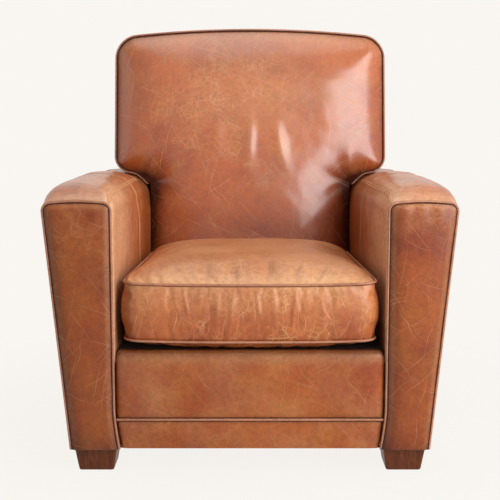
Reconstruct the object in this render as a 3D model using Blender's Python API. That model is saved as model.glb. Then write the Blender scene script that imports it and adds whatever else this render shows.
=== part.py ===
"""Worn leather club chair: padded arms with piped facings, a tight T-shaped back, a loose
boxed cushion and a sprung hardwood frame on four block feet.

Metres, +Z up. The origin is on the floor under the middle of the chair, which faces -Y.
"""
import math

import bmesh
import bpy
from mathutils import Vector

# Clearance between pieces that touch
CLEARANCE = 0.0003

# Feet
FOOT_HEIGHT = 0.050
FOOT_TOP_WIDTH = 0.088
FOOT_BOTTOM_WIDTH = 0.072
FOOT_INSET = 0.012
FOOT_EDGE = 0.004
BOLT_RADIUS = 0.004
BOLT_REACH = 0.030

# Arms
ARM_LENGTH = 0.790
ARM_TOP = 0.583
ARM_WIDTH_TOP = 0.1505
ARM_WIDTH_LOW = 0.0990
ARM_INNER_RADIUS = 0.048
ARM_OUTER_RADIUS = 0.038
ARM_CAMBER = 0.003
ARM_PADDING = 0.028
HOLLOW_EDGE = 0.002
ARM_FRONT_DROP = 0.019
ARM_FRONT_TUCK = 0.003
ARM_FRONT_ROUND = 0.075
SEAM_SETBACK = 0.450
SEAM_DEPTH = 0.0025

# Space between the arms
SEAT_HALF_FRONT = 0.277
SEAT_TAPER = 0.018

# Facings on the arm fronts
FACING_THICKNESS = 0.014
FACING_CROWN = 0.006
FACING_RADIUS = 0.014
FACING_FLARE = 0.010
FLARE_HEIGHT = 0.085
WELT_RADIUS = 0.003

# Back
BACK_TOP = 0.960
WING_WIDTH = 0.089
BACK_ARCH = 0.021
BACK_CORNER = 0.050
BACK_LOWER_CORNER = 0.034
BACK_SETBACK = 0.575
FRONT_RAKE = 0.180
REAR_RAKE = 0.095
BACK_CROWN = 0.046
BACK_CROWN_REACH = 0.050
BACK_SWELL = 0.005
BACK_WALL = 0.022
BACK_PANEL = 0.012
BACK_PANEL_CROWN = 0.008
WRINKLE_HEIGHT = 0.005
WRINKLE_WIDTH = 0.013
GATHER_HEIGHT = 0.004
GATHER_REACH = 0.055

# Seat
SEAT_RAIL_TOP = 0.231
SPRING_WIRE = 0.0038
SPRING_COUNT = 5
SPRING_MARGIN = 0.063
SPRING_HALF_LOOP = 0.023
SPRING_LOOPS = 11
DECK_THICKNESS = 0.0206
CUSHION_SIDE_GAP = 0.0205
CUSHION_SETBACK = 0.006
CUSHION_CORNER = 0.030
CUSHION_BOXING = 0.118
CUSHION_CROWN = 0.052
CUSHION_BELLY = 0.0185
CUSHION_SWELL = 0.007
ZIP_LENGTH = 0.420
ZIP_WIDTH = 0.024
ZIP_THICKNESS = 0.0015

# Front rail
RAIL_COVER = 0.022
RAIL_SETBACK = 0.010
RAIL_COVER_CROWN = 0.007
RAIL_COVER_RADIUS = 0.010
BAND_HEIGHT = 0.059

# Frame
BOARD = 0.028
POST_WIDTH = 0.030
POST_DEPTH = 0.045
ARM_BOARD_WIDTH = 0.045
BACK_POST_WIDTH = 0.044
BACK_POST_DEPTH = 0.036
BACK_RAIL_HEIGHT = 0.050
WING_STILE_WIDTH = 0.030
STRAP_WIDTH = 0.050
STRAP_THICKNESS = 0.002
STRAP_SPACING = 0.125
CORNER_BLOCK_LEG = 0.070
CORNER_BLOCK_MARGIN = 0.020
DUST_COVER = 0.0012
DUST_COVER_MARGIN = 0.010

# Widths, heights and depths that follow from the sizes above
SEAT_HALF_REAR = SEAT_HALF_FRONT - SEAT_TAPER
ARM_OUTER_TOP = SEAT_HALF_FRONT + ARM_WIDTH_TOP
ARM_OUTER_LOW = SEAT_HALF_FRONT + ARM_WIDTH_LOW
BACK_HALF = SEAT_HALF_REAR + WING_WIDTH
BODY_BOTTOM = FOOT_HEIGHT + CLEARANCE
DECK_BOTTOM = SEAT_RAIL_TOP + SPRING_WIRE + 2 * CLEARANCE
DECK_TOP = DECK_BOTTOM + DECK_THICKNESS
CUSHION_LOW_WELT = DECK_TOP + CLEARANCE + CUSHION_BELLY
CUSHION_TOP_WELT = CUSHION_LOW_WELT + CUSHION_BOXING
PAD_BOTTOM = DECK_TOP + CLEARANCE
WING_GAP = 2 * WELT_RADIUS + 4 * CLEARANCE
WING_RADIUS = ARM_INNER_RADIUS + WING_GAP
SHOULDER = ARM_TOP - ARM_INNER_RADIUS + math.sqrt(WING_RADIUS ** 2 - ARM_INNER_RADIUS ** 2)
BACK_LENGTH = REAR_RAKE * (BACK_TOP - BODY_BOTTOM) + CLEARANCE + BACK_PANEL
FACING_REACH = CLEARANCE + FACING_THICKNESS + FACING_CROWN
ARM_FRONT_Y = FACING_REACH - 0.5 * (FACING_REACH + ARM_LENGTH + BACK_LENGTH)
FACE_Y = ARM_FRONT_Y - CLEARANCE - FACING_THICKNESS
RAIL_FACE_Y = FACE_Y + RAIL_SETBACK
FRONT_BOARD_Y = RAIL_FACE_Y + RAIL_COVER + CLEARANCE
PAD_FRONT_Y = ARM_FRONT_Y + BACK_SETBACK
POST_INNER_X = SEAT_HALF_FRONT + ARM_PADDING + CLEARANCE
SIDES = {"left": -1, "right": 1}


# Shared curves

def rear_y(z):
    """Rear plane of the arms and the back pad, which leans back with height."""
    return ARM_FRONT_Y + ARM_LENGTH + REAR_RAKE * (z - BODY_BOTTOM)


def pad_rim_y(z):
    """Front rim of the back pad, where its face is sewn to its boxing."""
    return PAD_FRONT_Y + FRONT_RAKE * (z - PAD_BOTTOM)


def seat_half(y):
    """Half the space between the arms: it narrows from the front to the back pad."""
    share = (y - ARM_FRONT_Y) / (PAD_FRONT_Y - ARM_FRONT_Y)
    share = min(max(share, 0.0), 1.0)
    return SEAT_HALF_FRONT + (SEAT_HALF_REAR - SEAT_HALF_FRONT) * share


def arm_outer_x(z):
    """Outer side of an arm, which leans in towards the floor."""
    share = (z - BODY_BOTTOM) / (ARM_TOP - BODY_BOTTOM)
    return ARM_OUTER_LOW + (ARM_OUTER_TOP - ARM_OUTER_LOW) * share


def arc_rise(distance, radius):
    """Height lost by a round corner at a distance into it."""
    reach = min(max(distance, 0.0), radius)
    return radius - math.sqrt(radius * radius - reach * reach)


def arm_outer_corner_x():
    """Where the outer corner of an arm starts to turn down."""
    return arm_outer_x(ARM_TOP - ARM_OUTER_RADIUS) - ARM_OUTER_RADIUS


def arm_top_z(x):
    """Top of the full arm section behind the front of the back pad."""
    inner = SEAT_HALF_REAR + ARM_INNER_RADIUS
    outer = arm_outer_corner_x()
    drop = arc_rise(inner - abs(x), ARM_INNER_RADIUS) + arc_rise(abs(x) - outer, ARM_OUTER_RADIUS)
    share = min(max((abs(x) - inner) / (outer - inner), 0.0), 1.0)
    return ARM_TOP + ARM_CAMBER * math.sin(math.pi * share) - drop


def back_top_z(x):
    """Arched top edge of the back pad with its round corners."""
    arch = BACK_ARCH * (x / BACK_HALF) ** 2
    return BACK_TOP - 2 * WELT_RADIUS - arch - arc_rise(abs(x) - BACK_HALF + BACK_CORNER, BACK_CORNER)


def wing_low_z(x):
    """Lower edge of the back's wings, which lie on the arms with the welt between."""
    corner = arc_rise(abs(x) - BACK_HALF + BACK_LOWER_CORNER, BACK_LOWER_CORNER)
    into_turn = SEAT_HALF_REAR + ARM_INNER_RADIUS - max(abs(x), SEAT_HALF_REAR)
    if into_turn > 0:
        return ARM_TOP - ARM_INNER_RADIUS + math.sqrt(WING_RADIUS ** 2 - into_turn ** 2) + corner
    return arm_top_z(x) + WING_GAP + corner


def facing_inner_x(z):
    """Inner edge line of an arm front, which turns in a little near the floor."""
    share = min(max((BODY_BOTTOM + FLARE_HEIGHT - z) / FLARE_HEIGHT, 0.0), 1.0)
    return SEAT_HALF_FRONT - FACING_FLARE * share ** 1.5


def back_edge_distance(x, z):
    """Distance of a point on the back's face from the seam round it."""
    side = abs(x)
    if z < SHOULDER:
        near = SEAT_HALF_REAR - side
    elif side <= SEAT_HALF_REAR:
        near = math.hypot(SEAT_HALF_REAR - side, z - SHOULDER)
    else:
        near = z - wing_low_z(x)
    return max(min(near, BACK_HALF - side, back_top_z(x) - z), 0.0)


def back_relief(x, z):
    """Soft upright wrinkles in the middle of the back and gathers at its inner corners."""
    window = math.exp(-(((z - 0.5 * (SHOULDER + BACK_TOP)) / (0.22 * BACK_TOP)) ** 2))
    share_of_half = (-0.21, 0.03, 0.25)
    ridges = sum(math.exp(-(((x - s * BACK_HALF) / WRINKLE_WIDTH) ** 2)) for s in share_of_half)
    across = abs(x) - SEAT_HALF_REAR
    up = z - SHOULDER
    reach = math.exp(-((across * across + up * up) / GATHER_REACH ** 2))
    gathers = math.cos(7 * math.atan2(up, -across)) * reach
    return WRINKLE_HEIGHT * window * ridges + GATHER_HEIGHT * gathers


def back_face_y(x, z):
    """Crowned leather face of the back."""
    edge = back_edge_distance(x, z)
    fullness = 1.0 - math.exp(-edge / BACK_CROWN_REACH)
    return pad_rim_y(z) - (BACK_CROWN + back_relief(x, z)) * fullness


# Mesh helpers

def spread(low, high, count):
    """Evenly spaced values from low to high."""
    return [low + (high - low) * k / count for k in range(count + 1)]


def arc(center_x, center_z, radius, start, end, count):
    """Points on an arc in the X-Z plane, angles in degrees."""
    angles = [math.radians(a) for a in spread(start, end, count)]
    return [(center_x + radius * math.cos(a), center_z + radius * math.sin(a)) for a in angles]


def finish(name, mesh, material, smooth=None):
    """Turn a bmesh into an object with outward faces and one material."""
    bmesh.ops.recalc_face_normals(mesh, faces=mesh.faces)
    data = bpy.data.meshes.new(name)
    mesh.to_mesh(data)
    mesh.free()
    data.materials.append(material)
    if smooth is not None:
        data.shade_smooth()
        data.set_sharp_from_angle(angle=math.radians(smooth))
    piece = bpy.data.objects.new(name, data)
    bpy.context.scene.collection.objects.link(piece)
    return piece


def loft(name, rings, material, closed=False, smooth=40):
    """Skin a row of rings that have the same number of points."""
    mesh = bmesh.new()
    rows = [[mesh.verts.new(p) for p in ring] for ring in rings]
    pairs = list(zip(rows, rows[1:]))
    if closed:
        pairs.append((rows[-1], rows[0]))
    for a, b in pairs:
        for k in range(len(a)):
            n = (k + 1) % len(a)
            mesh.faces.new((a[k], a[n], b[n], b[k]))
    if not closed:
        mesh.faces.new(rows[0])
        mesh.faces.new(rows[-1])
    return finish(name, mesh, material, smooth)


def tube(name, path, radius, up, material, closed=False, sides=6):
    """Round tube along a path: up is a direction that the path never runs along."""
    rings = []
    count = len(path)
    for k, point in enumerate(path):
        before = path[k - 1] if closed or k else point
        after = path[(k + 1) % count] if closed or k < count - 1 else point
        along = (after - before).normalized()
        side = along.cross(up).normalized()
        rise = side.cross(along)
        ring = []
        for s in range(sides):
            turn = 2 * math.pi * (s + 0.5) / sides
            ring.append(point + radius * (math.cos(turn) * side + math.sin(turn) * rise))
        rings.append(ring)
    return loft(name, rings, material, closed)


def board(name, low, high, material, lean=None):
    """Sawn board between two corners: lean shears it back with height."""
    shift = lean or (lambda z: 0.0)
    rings = []
    for z in (low[2], high[2]):
        corners = ((low[0], low[1]), (high[0], low[1]), (high[0], high[1]), (low[0], high[1]))
        rings.append([Vector((x, y + shift(z), z)) for x, y in corners])
    return loft(name, rings, material, smooth=None)


def slab(name, outline, low, high, material):
    """Flat piece with an outline in plan."""
    rings = [[Vector((x, y, z)) for x, y in outline] for z in (low, high)]
    return loft(name, rings, material, smooth=None)


def boundary(cells):
    """Corners of the outline of a set of grid cells, in order."""
    edges = set()
    for i, j in cells:
        square = ((i, j), (i + 1, j), (i + 1, j + 1), (i, j + 1))
        edges.update(zip(square, square[1:] + square[:1]))
    follow = {a: b for a, b in edges if (b, a) not in edges}
    start = min(follow)
    loop = [start]
    while follow[loop[-1]] != start:
        loop.append(follow[loop[-1]])
    return loop


def outline_cells(columns, rows, kept):
    """Grid cells that are kept, as a list."""
    return [(i, j) for i in range(rows) for j in range(columns) if kept(i, j)]


def pad(name, cells, face, back, material, rings=0, swell=None, flat_back=True):
    """Padded solid: a face on a grid of cells, a boxing round it and a back.

    face and back give a point for each grid corner, and swell gives how far the boxing
    stands out there at its middle.
    """
    mesh = bmesh.new()
    corners = sorted({c for i, j in cells for c in ((i, j), (i + 1, j), (i, j + 1), (i + 1, j + 1))})
    top = {key: mesh.verts.new(face(*key)) for key in corners}
    for i, j in cells:
        mesh.faces.new((top[i, j], top[i + 1, j], top[i + 1, j + 1], top[i, j + 1]))
    loop = boundary(cells)
    if flat_back:
        bottom = {key: mesh.verts.new(back(*key)) for key in loop}
        mesh.faces.new([bottom[key] for key in loop])
    else:
        bottom = {key: mesh.verts.new(back(*key)) for key in corners}
        for i, j in cells:
            mesh.faces.new((bottom[i, j], bottom[i, j + 1], bottom[i + 1, j + 1], bottom[i + 1, j]))
    layers = [[top[key] for key in loop]]
    center = sum((face(*key) for key in loop), Vector()) / len(loop)
    for r in range(1, rings + 1):
        share = r / (rings + 1)
        layer = []
        for k, key in enumerate(loop):
            a, b = face(*key), back(*key)
            along = face(*loop[(k + 1) % len(loop)]) - face(*loop[k - 1])
            out = along.cross(a - b).normalized()
            if out.dot(a - center) < 0:
                out = -out
            lift = swell(*key) * 0.5 * (1 - math.cos(2 * math.pi * share))
            layer.append(mesh.verts.new(a.lerp(b, share) + lift * out))
        layers.append(layer)
    layers.append([bottom[key] for key in loop])
    for a, b in zip(layers, layers[1:]):
        for k in range(len(loop)):
            n = (k + 1) % len(loop)
            mesh.faces.new((a[k], a[n], b[n], b[k]))
    return finish(name, mesh, material, 50)


def cut(piece, cutter):
    """Cut a piece with another object, which is only a tool and is hidden."""
    cutter.hide_render = True
    cutter.display_type = "WIRE"
    boolean = piece.modifiers.new("cut_" + cutter.name, "BOOLEAN")
    boolean.operation = "DIFFERENCE"
    boolean.object = cutter


# Materials

def surface(name, color, roughness, metallic=0.0):
    """Principled material from a linear colour."""
    material = bpy.data.materials.new(name)
    material.use_nodes = True
    shader = material.node_tree.nodes["Principled BSDF"]
    shader.inputs["Base Color"].default_value = (*color, 1.0)
    shader.inputs["Roughness"].default_value = roughness
    shader.inputs["Metallic"].default_value = metallic
    material.diffuse_color = (*color, 1.0)
    return material


def make_materials():
    """Every finish on the chair."""
    return {
        "leather": surface("leather", (0.40, 0.135, 0.050), 0.48),
        "piping": surface("piping_leather", (0.22, 0.055, 0.032), 0.45),
        "foot": surface("stained_beech", (0.115, 0.032, 0.013), 0.42),
        "frame": surface("frame_hardwood", (0.52, 0.36, 0.20), 0.70),
        "steel": surface("spring_steel", (0.42, 0.42, 0.43), 0.38, 1.0),
        "webbing": surface("jute_webbing", (0.42, 0.31, 0.18), 0.90),
        "lining": surface("lining_cloth", (0.030, 0.028, 0.026), 0.92),
        "zip": surface("zip_tape", (0.075, 0.035, 0.020), 0.70),
    }


# Feet and frame

def make_foot(name, x, y, bolt_x, bolt_y, paint):
    """Tapered block foot with a bolt that stands in it and reaches into the frame."""
    rings = []
    for z, width in ((0.0, FOOT_BOTTOM_WIDTH), (FOOT_HEIGHT, FOOT_TOP_WIDTH)):
        half = width / 2
        square = ((-half, -half), (half, -half), (half, half), (-half, half))
        rings.append([Vector((x + dx, y + dy, z)) for dx, dy in square])
    foot = loft("foot_" + name, rings, paint["foot"], smooth=None)
    bevel = foot.modifiers.new("worn_edges", "BEVEL")
    bevel.width = FOOT_EDGE
    bevel.segments = 2
    cut(foot, bolt_hole(name + "_foot_hole", bolt_x, bolt_y))
    path = [Vector((bolt_x, bolt_y, z)) for z in bolt_span(0.0)]
    return tube("foot_bolt_" + name, path, BOLT_RADIUS, Vector((0, 1, 0)), paint["steel"], sides=10)


def bolt_span(extra):
    """Lowest and highest point of a foot bolt, or of the hole for it."""
    return (FOOT_HEIGHT - BOLT_REACH - extra, BODY_BOTTOM + BOLT_REACH + extra)


def bolt_hole(name, x, y):
    """Tool for the hole that a foot bolt goes through."""
    path = [Vector((x, y, z)) for z in bolt_span(CLEARANCE)]
    radius = BOLT_RADIUS + 2 * CLEARANCE
    return tube(name, path, radius, Vector((0, 1, 0)), bpy.data.materials["spring_steel"], sides=10)


def rear_rail_faces():
    """Front and rear face of the rear seat rail, measured back from the rear plane."""
    rear = BACK_POST_DEPTH + 2 * CLEARANCE
    return rear + BOARD, rear


def lean(z):
    """How far the rear plane has moved back at a height."""
    return rear_y(z)


def make_seat_frame(paint):
    """Rails, posts, corner blocks and feet."""
    wood = paint["frame"]
    rail_x = POST_INNER_X - CLEARANCE
    front_y1 = FRONT_BOARD_Y + BOARD
    board("front_seat_rail", (-rail_x, FRONT_BOARD_Y, BODY_BOTTOM), (rail_x, front_y1, SEAT_RAIL_TOP), wood)
    near, far = rear_rail_faces()
    rear_x = POST_INNER_X + POST_WIDTH
    rear = board(
        "rear_seat_rail", (-rear_x, -near, BODY_BOTTOM), (rear_x, -far, SEAT_RAIL_TOP), wood, lean
    )
    side_x = SEAT_HALF_REAR
    rear_low = rear_y(BODY_BOTTOM) - near - CLEARANCE
    for side, sign in SIDES.items():
        x0, x1 = sorted((sign * side_x, sign * (side_x + BOARD)))
        board(
            "side_seat_rail_" + side,
            (x0, front_y1 + CLEARANCE, BODY_BOTTOM),
            (x1, rear_low, SEAT_RAIL_TOP),
            wood,
        )
        make_corner_blocks(side, sign, side_x - CLEARANCE, front_y1 + CLEARANCE, rear_low, wood)
        make_arm_frame(side, sign, rear, paint)


def make_corner_blocks(side, sign, x, front, rear, wood):
    """Triangular blocks glued in the corners of the seat frame."""
    low = BODY_BOTTOM + CORNER_BLOCK_MARGIN
    high = SEAT_RAIL_TOP - CORNER_BLOCK_MARGIN
    leg = CORNER_BLOCK_LEG
    for place, y, turn in (("front", front, 1), ("rear", rear, -1)):
        outline = ((sign * x, y), (sign * (x - leg), y), (sign * x, y + turn * leg))
        slab(f"corner_block_{place}_{side}", outline, low, high, wood)


def make_arm_frame(side, sign, rear_rail, paint):
    """Posts and rail inside one arm, with the two feet under them."""
    wood = paint["frame"]
    x0, x1 = sorted((sign * POST_INNER_X, sign * (POST_INNER_X + POST_WIDTH)))
    rail_top = ARM_TOP - ARM_FRONT_DROP - ARM_PADDING - HOLLOW_EDGE
    post_top = rail_top - BOARD - CLEARANCE
    front_y1 = ARM_FRONT_Y + POST_DEPTH
    post = board("front_post_" + side, (x0, ARM_FRONT_Y, BODY_BOTTOM), (x1, front_y1, post_top), wood)
    near, far = rear_rail_faces()
    stump_low = SEAT_RAIL_TOP + CLEARANCE
    board("rear_arm_post_" + side, (x0, -near, stump_low), (x1, -far, post_top), wood, lean)
    x2, x3 = sorted((sign * POST_INNER_X, sign * (POST_INNER_X + ARM_BOARD_WIDTH)))
    rail_low = rail_top - BOARD
    rail_end = rear_y(rail_low) - far
    board("arm_rail_" + side, (x2, ARM_FRONT_Y, rail_low), (x3, rail_end, rail_top), wood)
    foot_x = sign * (ARM_OUTER_LOW - FOOT_INSET - FOOT_TOP_WIDTH / 2)
    bolt_x = sign * (POST_INNER_X + POST_WIDTH / 2)
    front_bolt_y = ARM_FRONT_Y + POST_DEPTH / 2
    front_foot_y = FACE_Y + FOOT_INSET + FOOT_TOP_WIDTH / 2
    rear_bolt_y = rear_y(BODY_BOTTOM) - (near + far) / 2
    rear_foot_y = rear_y(BODY_BOTTOM) - FOOT_INSET - FOOT_TOP_WIDTH / 2
    make_foot("front_" + side, foot_x, front_foot_y, bolt_x, front_bolt_y, paint)
    make_foot("rear_" + side, foot_x, rear_foot_y, bolt_x, rear_bolt_y, paint)
    cut(post, bolt_hole("post_hole_" + side, bolt_x, front_bolt_y))
    cut(rear_rail, bolt_hole("rail_hole_" + side, bolt_x, rear_bolt_y))


def make_springs(paint):
    """Zigzag springs across the seat, from the front rail to the rear rail."""
    near, far = rear_rail_faces()
    start = FRONT_BOARD_Y + BOARD / 2
    end = rear_y(SEAT_RAIL_TOP) - (near + far) / 2
    z = SEAT_RAIL_TOP + CLEARANCE + SPRING_WIRE / 2
    step = (end - start) / (4 * SPRING_LOOPS)
    outermost = SEAT_HALF_REAR - SPRING_MARGIN
    for n, x in enumerate(spread(-outermost, outermost, SPRING_COUNT - 1)):
        path = []
        for k in range(4 * SPRING_LOOPS + 1):
            swing = SPRING_HALF_LOOP if k % 4 in (1, 2) else -SPRING_HALF_LOOP
            path.append(Vector((x + swing, start + k * step, z)))
        tube(f"seat_spring_{n + 1}", path, SPRING_WIRE / 2, Vector((0, 0, 1)), paint["steel"], sides=5)


def make_back_frame(paint):
    """Posts, rails, wing stiles and webbing that stand in the hollow of the back pad."""
    wood = paint["frame"]
    depth = BACK_POST_DEPTH + CLEARANCE
    pocket = pocket_sizes()
    post_out = pocket["stem_half"] - CLEARANCE
    post_in = post_out - BACK_POST_WIDTH
    top_low = pocket["top"] - CLEARANCE - BACK_RAIL_HEIGHT
    top_high = pocket["top"] - CLEARANCE
    wing_half = pocket["wing_half"] - CLEARANCE
    board("back_top_rail", (-wing_half, -depth, top_low), (wing_half, -CLEARANCE, top_high), wood, lean)
    rail_x = post_in - CLEARANCE
    low_0 = PAD_BOTTOM
    low_1 = low_0 + BACK_RAIL_HEIGHT
    board("back_lower_rail", (-rail_x, -depth, low_0), (rail_x, -CLEARANCE, low_1), wood, lean)
    for side, sign in SIDES.items():
        x0, x1 = sorted((sign * post_in, sign * post_out))
        low = BODY_BOTTOM
        board("back_post_" + side, (x0, -depth, low), (x1, -CLEARANCE, top_low - CLEARANCE), wood, lean)
        x2, x3 = sorted((sign * wing_half, sign * (wing_half - WING_STILE_WIDTH)))
        low = pocket["wing_low"] + CLEARANCE
        board("wing_stile_" + side, (x2, -depth, low), (x3, -CLEARANCE, top_low - CLEARANCE), wood, lean)
    near = depth + CLEARANCE + STRAP_THICKNESS
    far = depth + CLEARANCE
    for name, x in (("left", -STRAP_SPACING), ("middle", 0.0), ("right", STRAP_SPACING)):
        x0, x1 = x - STRAP_WIDTH / 2, x + STRAP_WIDTH / 2
        board("back_strap_" + name, (x0, -near, low_0), (x1, -far, top_high), paint["webbing"], lean)


def pocket_sizes():
    """Hollow in the rear of the back pad, which the back frame fills."""
    return {
        "depth": BACK_POST_DEPTH + STRAP_THICKNESS + 3 * CLEARANCE,
        "stem_half": SEAT_HALF_REAR - BACK_WALL,
        "wing_half": BACK_HALF - BACK_WALL,
        "bottom": PAD_BOTTOM - BACK_WALL,
        "wing_low": wing_low_z(BACK_HALF) + BACK_WALL,
        "top": back_top_z(BACK_HALF) - BACK_WALL / 2,
    }


# Arms

def arm_path(y, inner, outer, drop, radius_in, radius_out, inner_low, outer_low, inset, turns):
    """One arm section from the foot of its inner side, over the top, to its outer foot."""
    top = ARM_TOP - drop - inset
    x_in = inner + inset
    r_in = radius_in - inset
    r_out = radius_out - inset
    shoulder_in = top - r_in
    shoulder_out = top - r_out
    x_out = arm_outer_x(shoulder_out) - outer - inset
    points = [(x_in, z) for z in spread(inner_low, shoulder_in, turns - 1)[:-1]]
    points += arc(x_in + r_in, shoulder_in, r_in, 180, 90, turns)
    for k in range(1, turns):
        share = k / turns
        x = (1 - share) * (x_in + r_in) + share * (x_out - r_out)
        points.append((x, top + ARM_CAMBER * math.sin(math.pi * share)))
    points += arc(x_out - r_out, shoulder_out, r_out, 90, 0, turns)
    points += [(arm_outer_x(z) - outer - inset, z) for z in spread(shoulder_out, outer_low, turns)[1:]]
    return [Vector((x, y, z)) for x, z in points]


def arm_station(y):
    """Shape of an arm at a depth: its front edge is tucked in and rounded over."""
    share = min((y - ARM_FRONT_Y) / ARM_FRONT_ROUND, 1.0)
    ease = 1 - math.sin(0.5 * math.pi * share)
    seam = SEAM_DEPTH * math.exp(-(((y - ARM_FRONT_Y - SEAM_SETBACK) / 0.006) ** 2))
    return {
        "outer": ARM_FRONT_TUCK * ease + seam,
        "drop": ARM_FRONT_DROP * ease + seam,
        "radius_in": FACING_RADIUS + 2 * WELT_RADIUS + (ARM_INNER_RADIUS - FACING_RADIUS
                                                       - 2 * WELT_RADIUS) * (1 - ease),
        "radius_out": FACING_RADIUS + 2 * WELT_RADIUS + (ARM_OUTER_RADIUS - FACING_RADIUS
                                                         - 2 * WELT_RADIUS) * (1 - ease),
    }


def make_arm_cover(side, sign, paint):
    """Leather and padding of one arm: a long inverted trough over the arm frame."""
    front = [ARM_FRONT_Y + ARM_FRONT_ROUND * s for s in (0.0, 0.1, 0.3, 0.6, 1.0)]
    seam = [ARM_FRONT_Y + SEAM_SETBACK + d for d in (-0.012, -0.004, 0.004, 0.012)]
    middle = spread(front[-1], seam[0], 3)[1:-1]
    stations = front + middle + seam + [PAD_FRONT_Y]
    inner_low = SEAT_RAIL_TOP + CLEARANCE
    rings = []
    for k, y in enumerate(stations + [None]):
        last = y is None
        station = arm_station(PAD_FRONT_Y if last else y)
        inner = seat_half(PAD_FRONT_Y if last else y)
        skin = arm_path(y or 0.0, inner, inner_low=inner_low, outer_low=BODY_BOTTOM, inset=0.0,
                        turns=5, **station)
        hollow = dict(station, drop=ARM_FRONT_DROP, outer=ARM_FRONT_TUCK,
                      radius_in=ARM_PADDING + HOLLOW_EDGE, radius_out=ARM_PADDING + HOLLOW_EDGE)
        core = arm_path(y or 0.0, inner, inner_low=inner_low, outer_low=BODY_BOTTOM,
                        inset=ARM_PADDING, turns=2, **hollow)
        ring = skin + core[::-1]
        if last:
            for point in ring:
                point.y = rear_y(point.z)
        rings.append([Vector((sign * p.x, p.y, p.z)) for p in ring])
    return loft("arm_cover_" + side, rings, paint["leather"])


def facing_outline(inset):
    """Outline of an arm front at an inset from the arm's front edge, from foot to foot."""
    top = ARM_TOP - ARM_FRONT_DROP - inset
    radius = FACING_RADIUS + 2 * WELT_RADIUS - inset
    shoulder = top - radius
    x_in = SEAT_HALF_FRONT + inset
    x_out = arm_outer_x(shoulder) - ARM_FRONT_TUCK - inset
    heights = [BODY_BOTTOM + FLARE_HEIGHT * s for s in (0.0, 0.25, 0.5, 0.75, 1.0)]
    points = [(facing_inner_x(z) + inset, z) for z in heights]
    points += arc(x_in + radius, shoulder, radius, 180, 90, 6)
    middle = 0.5 * (x_in + x_out)
    points.append((middle, top + ARM_CAMBER))
    points += arc(x_out - radius, shoulder, radius, 90, 0, 6)
    outer = spread(shoulder, BODY_BOTTOM, 6)[1:]
    points += [(arm_outer_x(z) - ARM_FRONT_TUCK - inset, z) for z in outer]
    return points


def make_facing(side, sign, paint):
    """Padded facing on an arm front, with the welt sewn round its top and sides."""
    edge = facing_outline(2 * WELT_RADIUS + CLEARANCE)
    center_x = sum(x for x, z in edge) / len(edge)
    center_z = sum(z for x, z in edge) / len(edge)
    rings = []
    for share, y in ((1.0, ARM_FRONT_Y - CLEARANCE), (1.0, FACE_Y + FACING_CROWN / 2), (0.93, FACE_Y),
                     (0.70, FACE_Y - 0.7 * FACING_CROWN), (0.35, FACE_Y - FACING_CROWN)):
        ring = []
        for x, z in edge:
            place_x = center_x + share * (x - center_x)
            place_z = max(center_z + (1 - (1 - share) * 0.5) * (z - center_z), BODY_BOTTOM)
            ring.append(Vector((sign * place_x, y, place_z)))
        rings.append(ring)
    loft("arm_facing_" + side, rings, paint["leather"])
    path = [Vector((sign * x, ARM_FRONT_Y - CLEARANCE - WELT_RADIUS, z))
            for x, z in facing_outline(WELT_RADIUS)]
    tube("arm_welt_" + side, path, WELT_RADIUS - CLEARANCE, Vector((0, 1, 0)), paint["piping"])


# Back

def back_columns():
    """Places of the grid columns across the right half of the back."""
    stem = spread(0.0, SEAT_HALF_REAR - CLEARANCE, 13)
    corner = [BACK_HALF - BACK_CORNER + BACK_CORNER * math.sin(math.radians(a))
              for a in (0, 18, 36, 52, 66, 78, 90)]
    inner = spread(stem[-1], corner[0], 3)[1:-1]
    return stem + inner + corner, len(stem) - 1


def make_back_pad(paint):
    """T-shaped back pad: the stem goes down between the arms and the wings lie on them."""
    half, stem = back_columns()
    xs = [-x for x in half[:0:-1]] + half
    middle = len(half) - 1
    stem_rows = 9
    wing_rows = 14

    def place(i, j):
        x = xs[j]
        low = wing_low_z(x) if abs(j - middle) > stem else SHOULDER
        if i <= stem_rows:
            return x, PAD_BOTTOM + (SHOULDER - PAD_BOTTOM) * i / stem_rows
        share = 0.5 - 0.5 * math.cos(math.pi * (i - stem_rows) / wing_rows)
        return x, low + (back_top_z(x) - low) * share

    def low_or_place(i, j):
        x, z = place(i, j)
        if i == stem_rows and abs(j - middle) > stem:
            z = wing_low_z(x)
        return x, z

    def face(i, j):
        x, z = low_or_place(i, j)
        return Vector((x, back_face_y(x, z), z))

    def back(i, j):
        x, z = low_or_place(i, j)
        return Vector((x, rear_y(z), z))

    def swell(i, j):
        return BACK_SWELL if i > stem_rows else 0.0

    def kept(i, j):
        return i >= stem_rows or middle - stem <= j < middle + stem

    cells = outline_cells(2 * middle, stem_rows + wing_rows, kept)
    piece = pad("back_pad", cells, face, back, paint["leather"], rings=3, swell=swell)
    size = pocket_sizes()
    outline = (
        (-size["stem_half"], size["bottom"]), (size["stem_half"], size["bottom"]),
        (size["stem_half"], size["wing_low"]), (size["wing_half"], size["wing_low"]),
        (size["wing_half"], size["top"]), (-size["wing_half"], size["top"]),
        (-size["wing_half"], size["wing_low"]), (-size["stem_half"], size["wing_low"]),
    )
    rings = [[Vector((x, rear_y(z) - depth, z)) for x, z in outline] for depth in (size["depth"], -0.01)]
    cut(piece, loft("back_pocket", rings, paint["leather"], smooth=None))
    make_back_welt(half, stem, paint)


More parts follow.
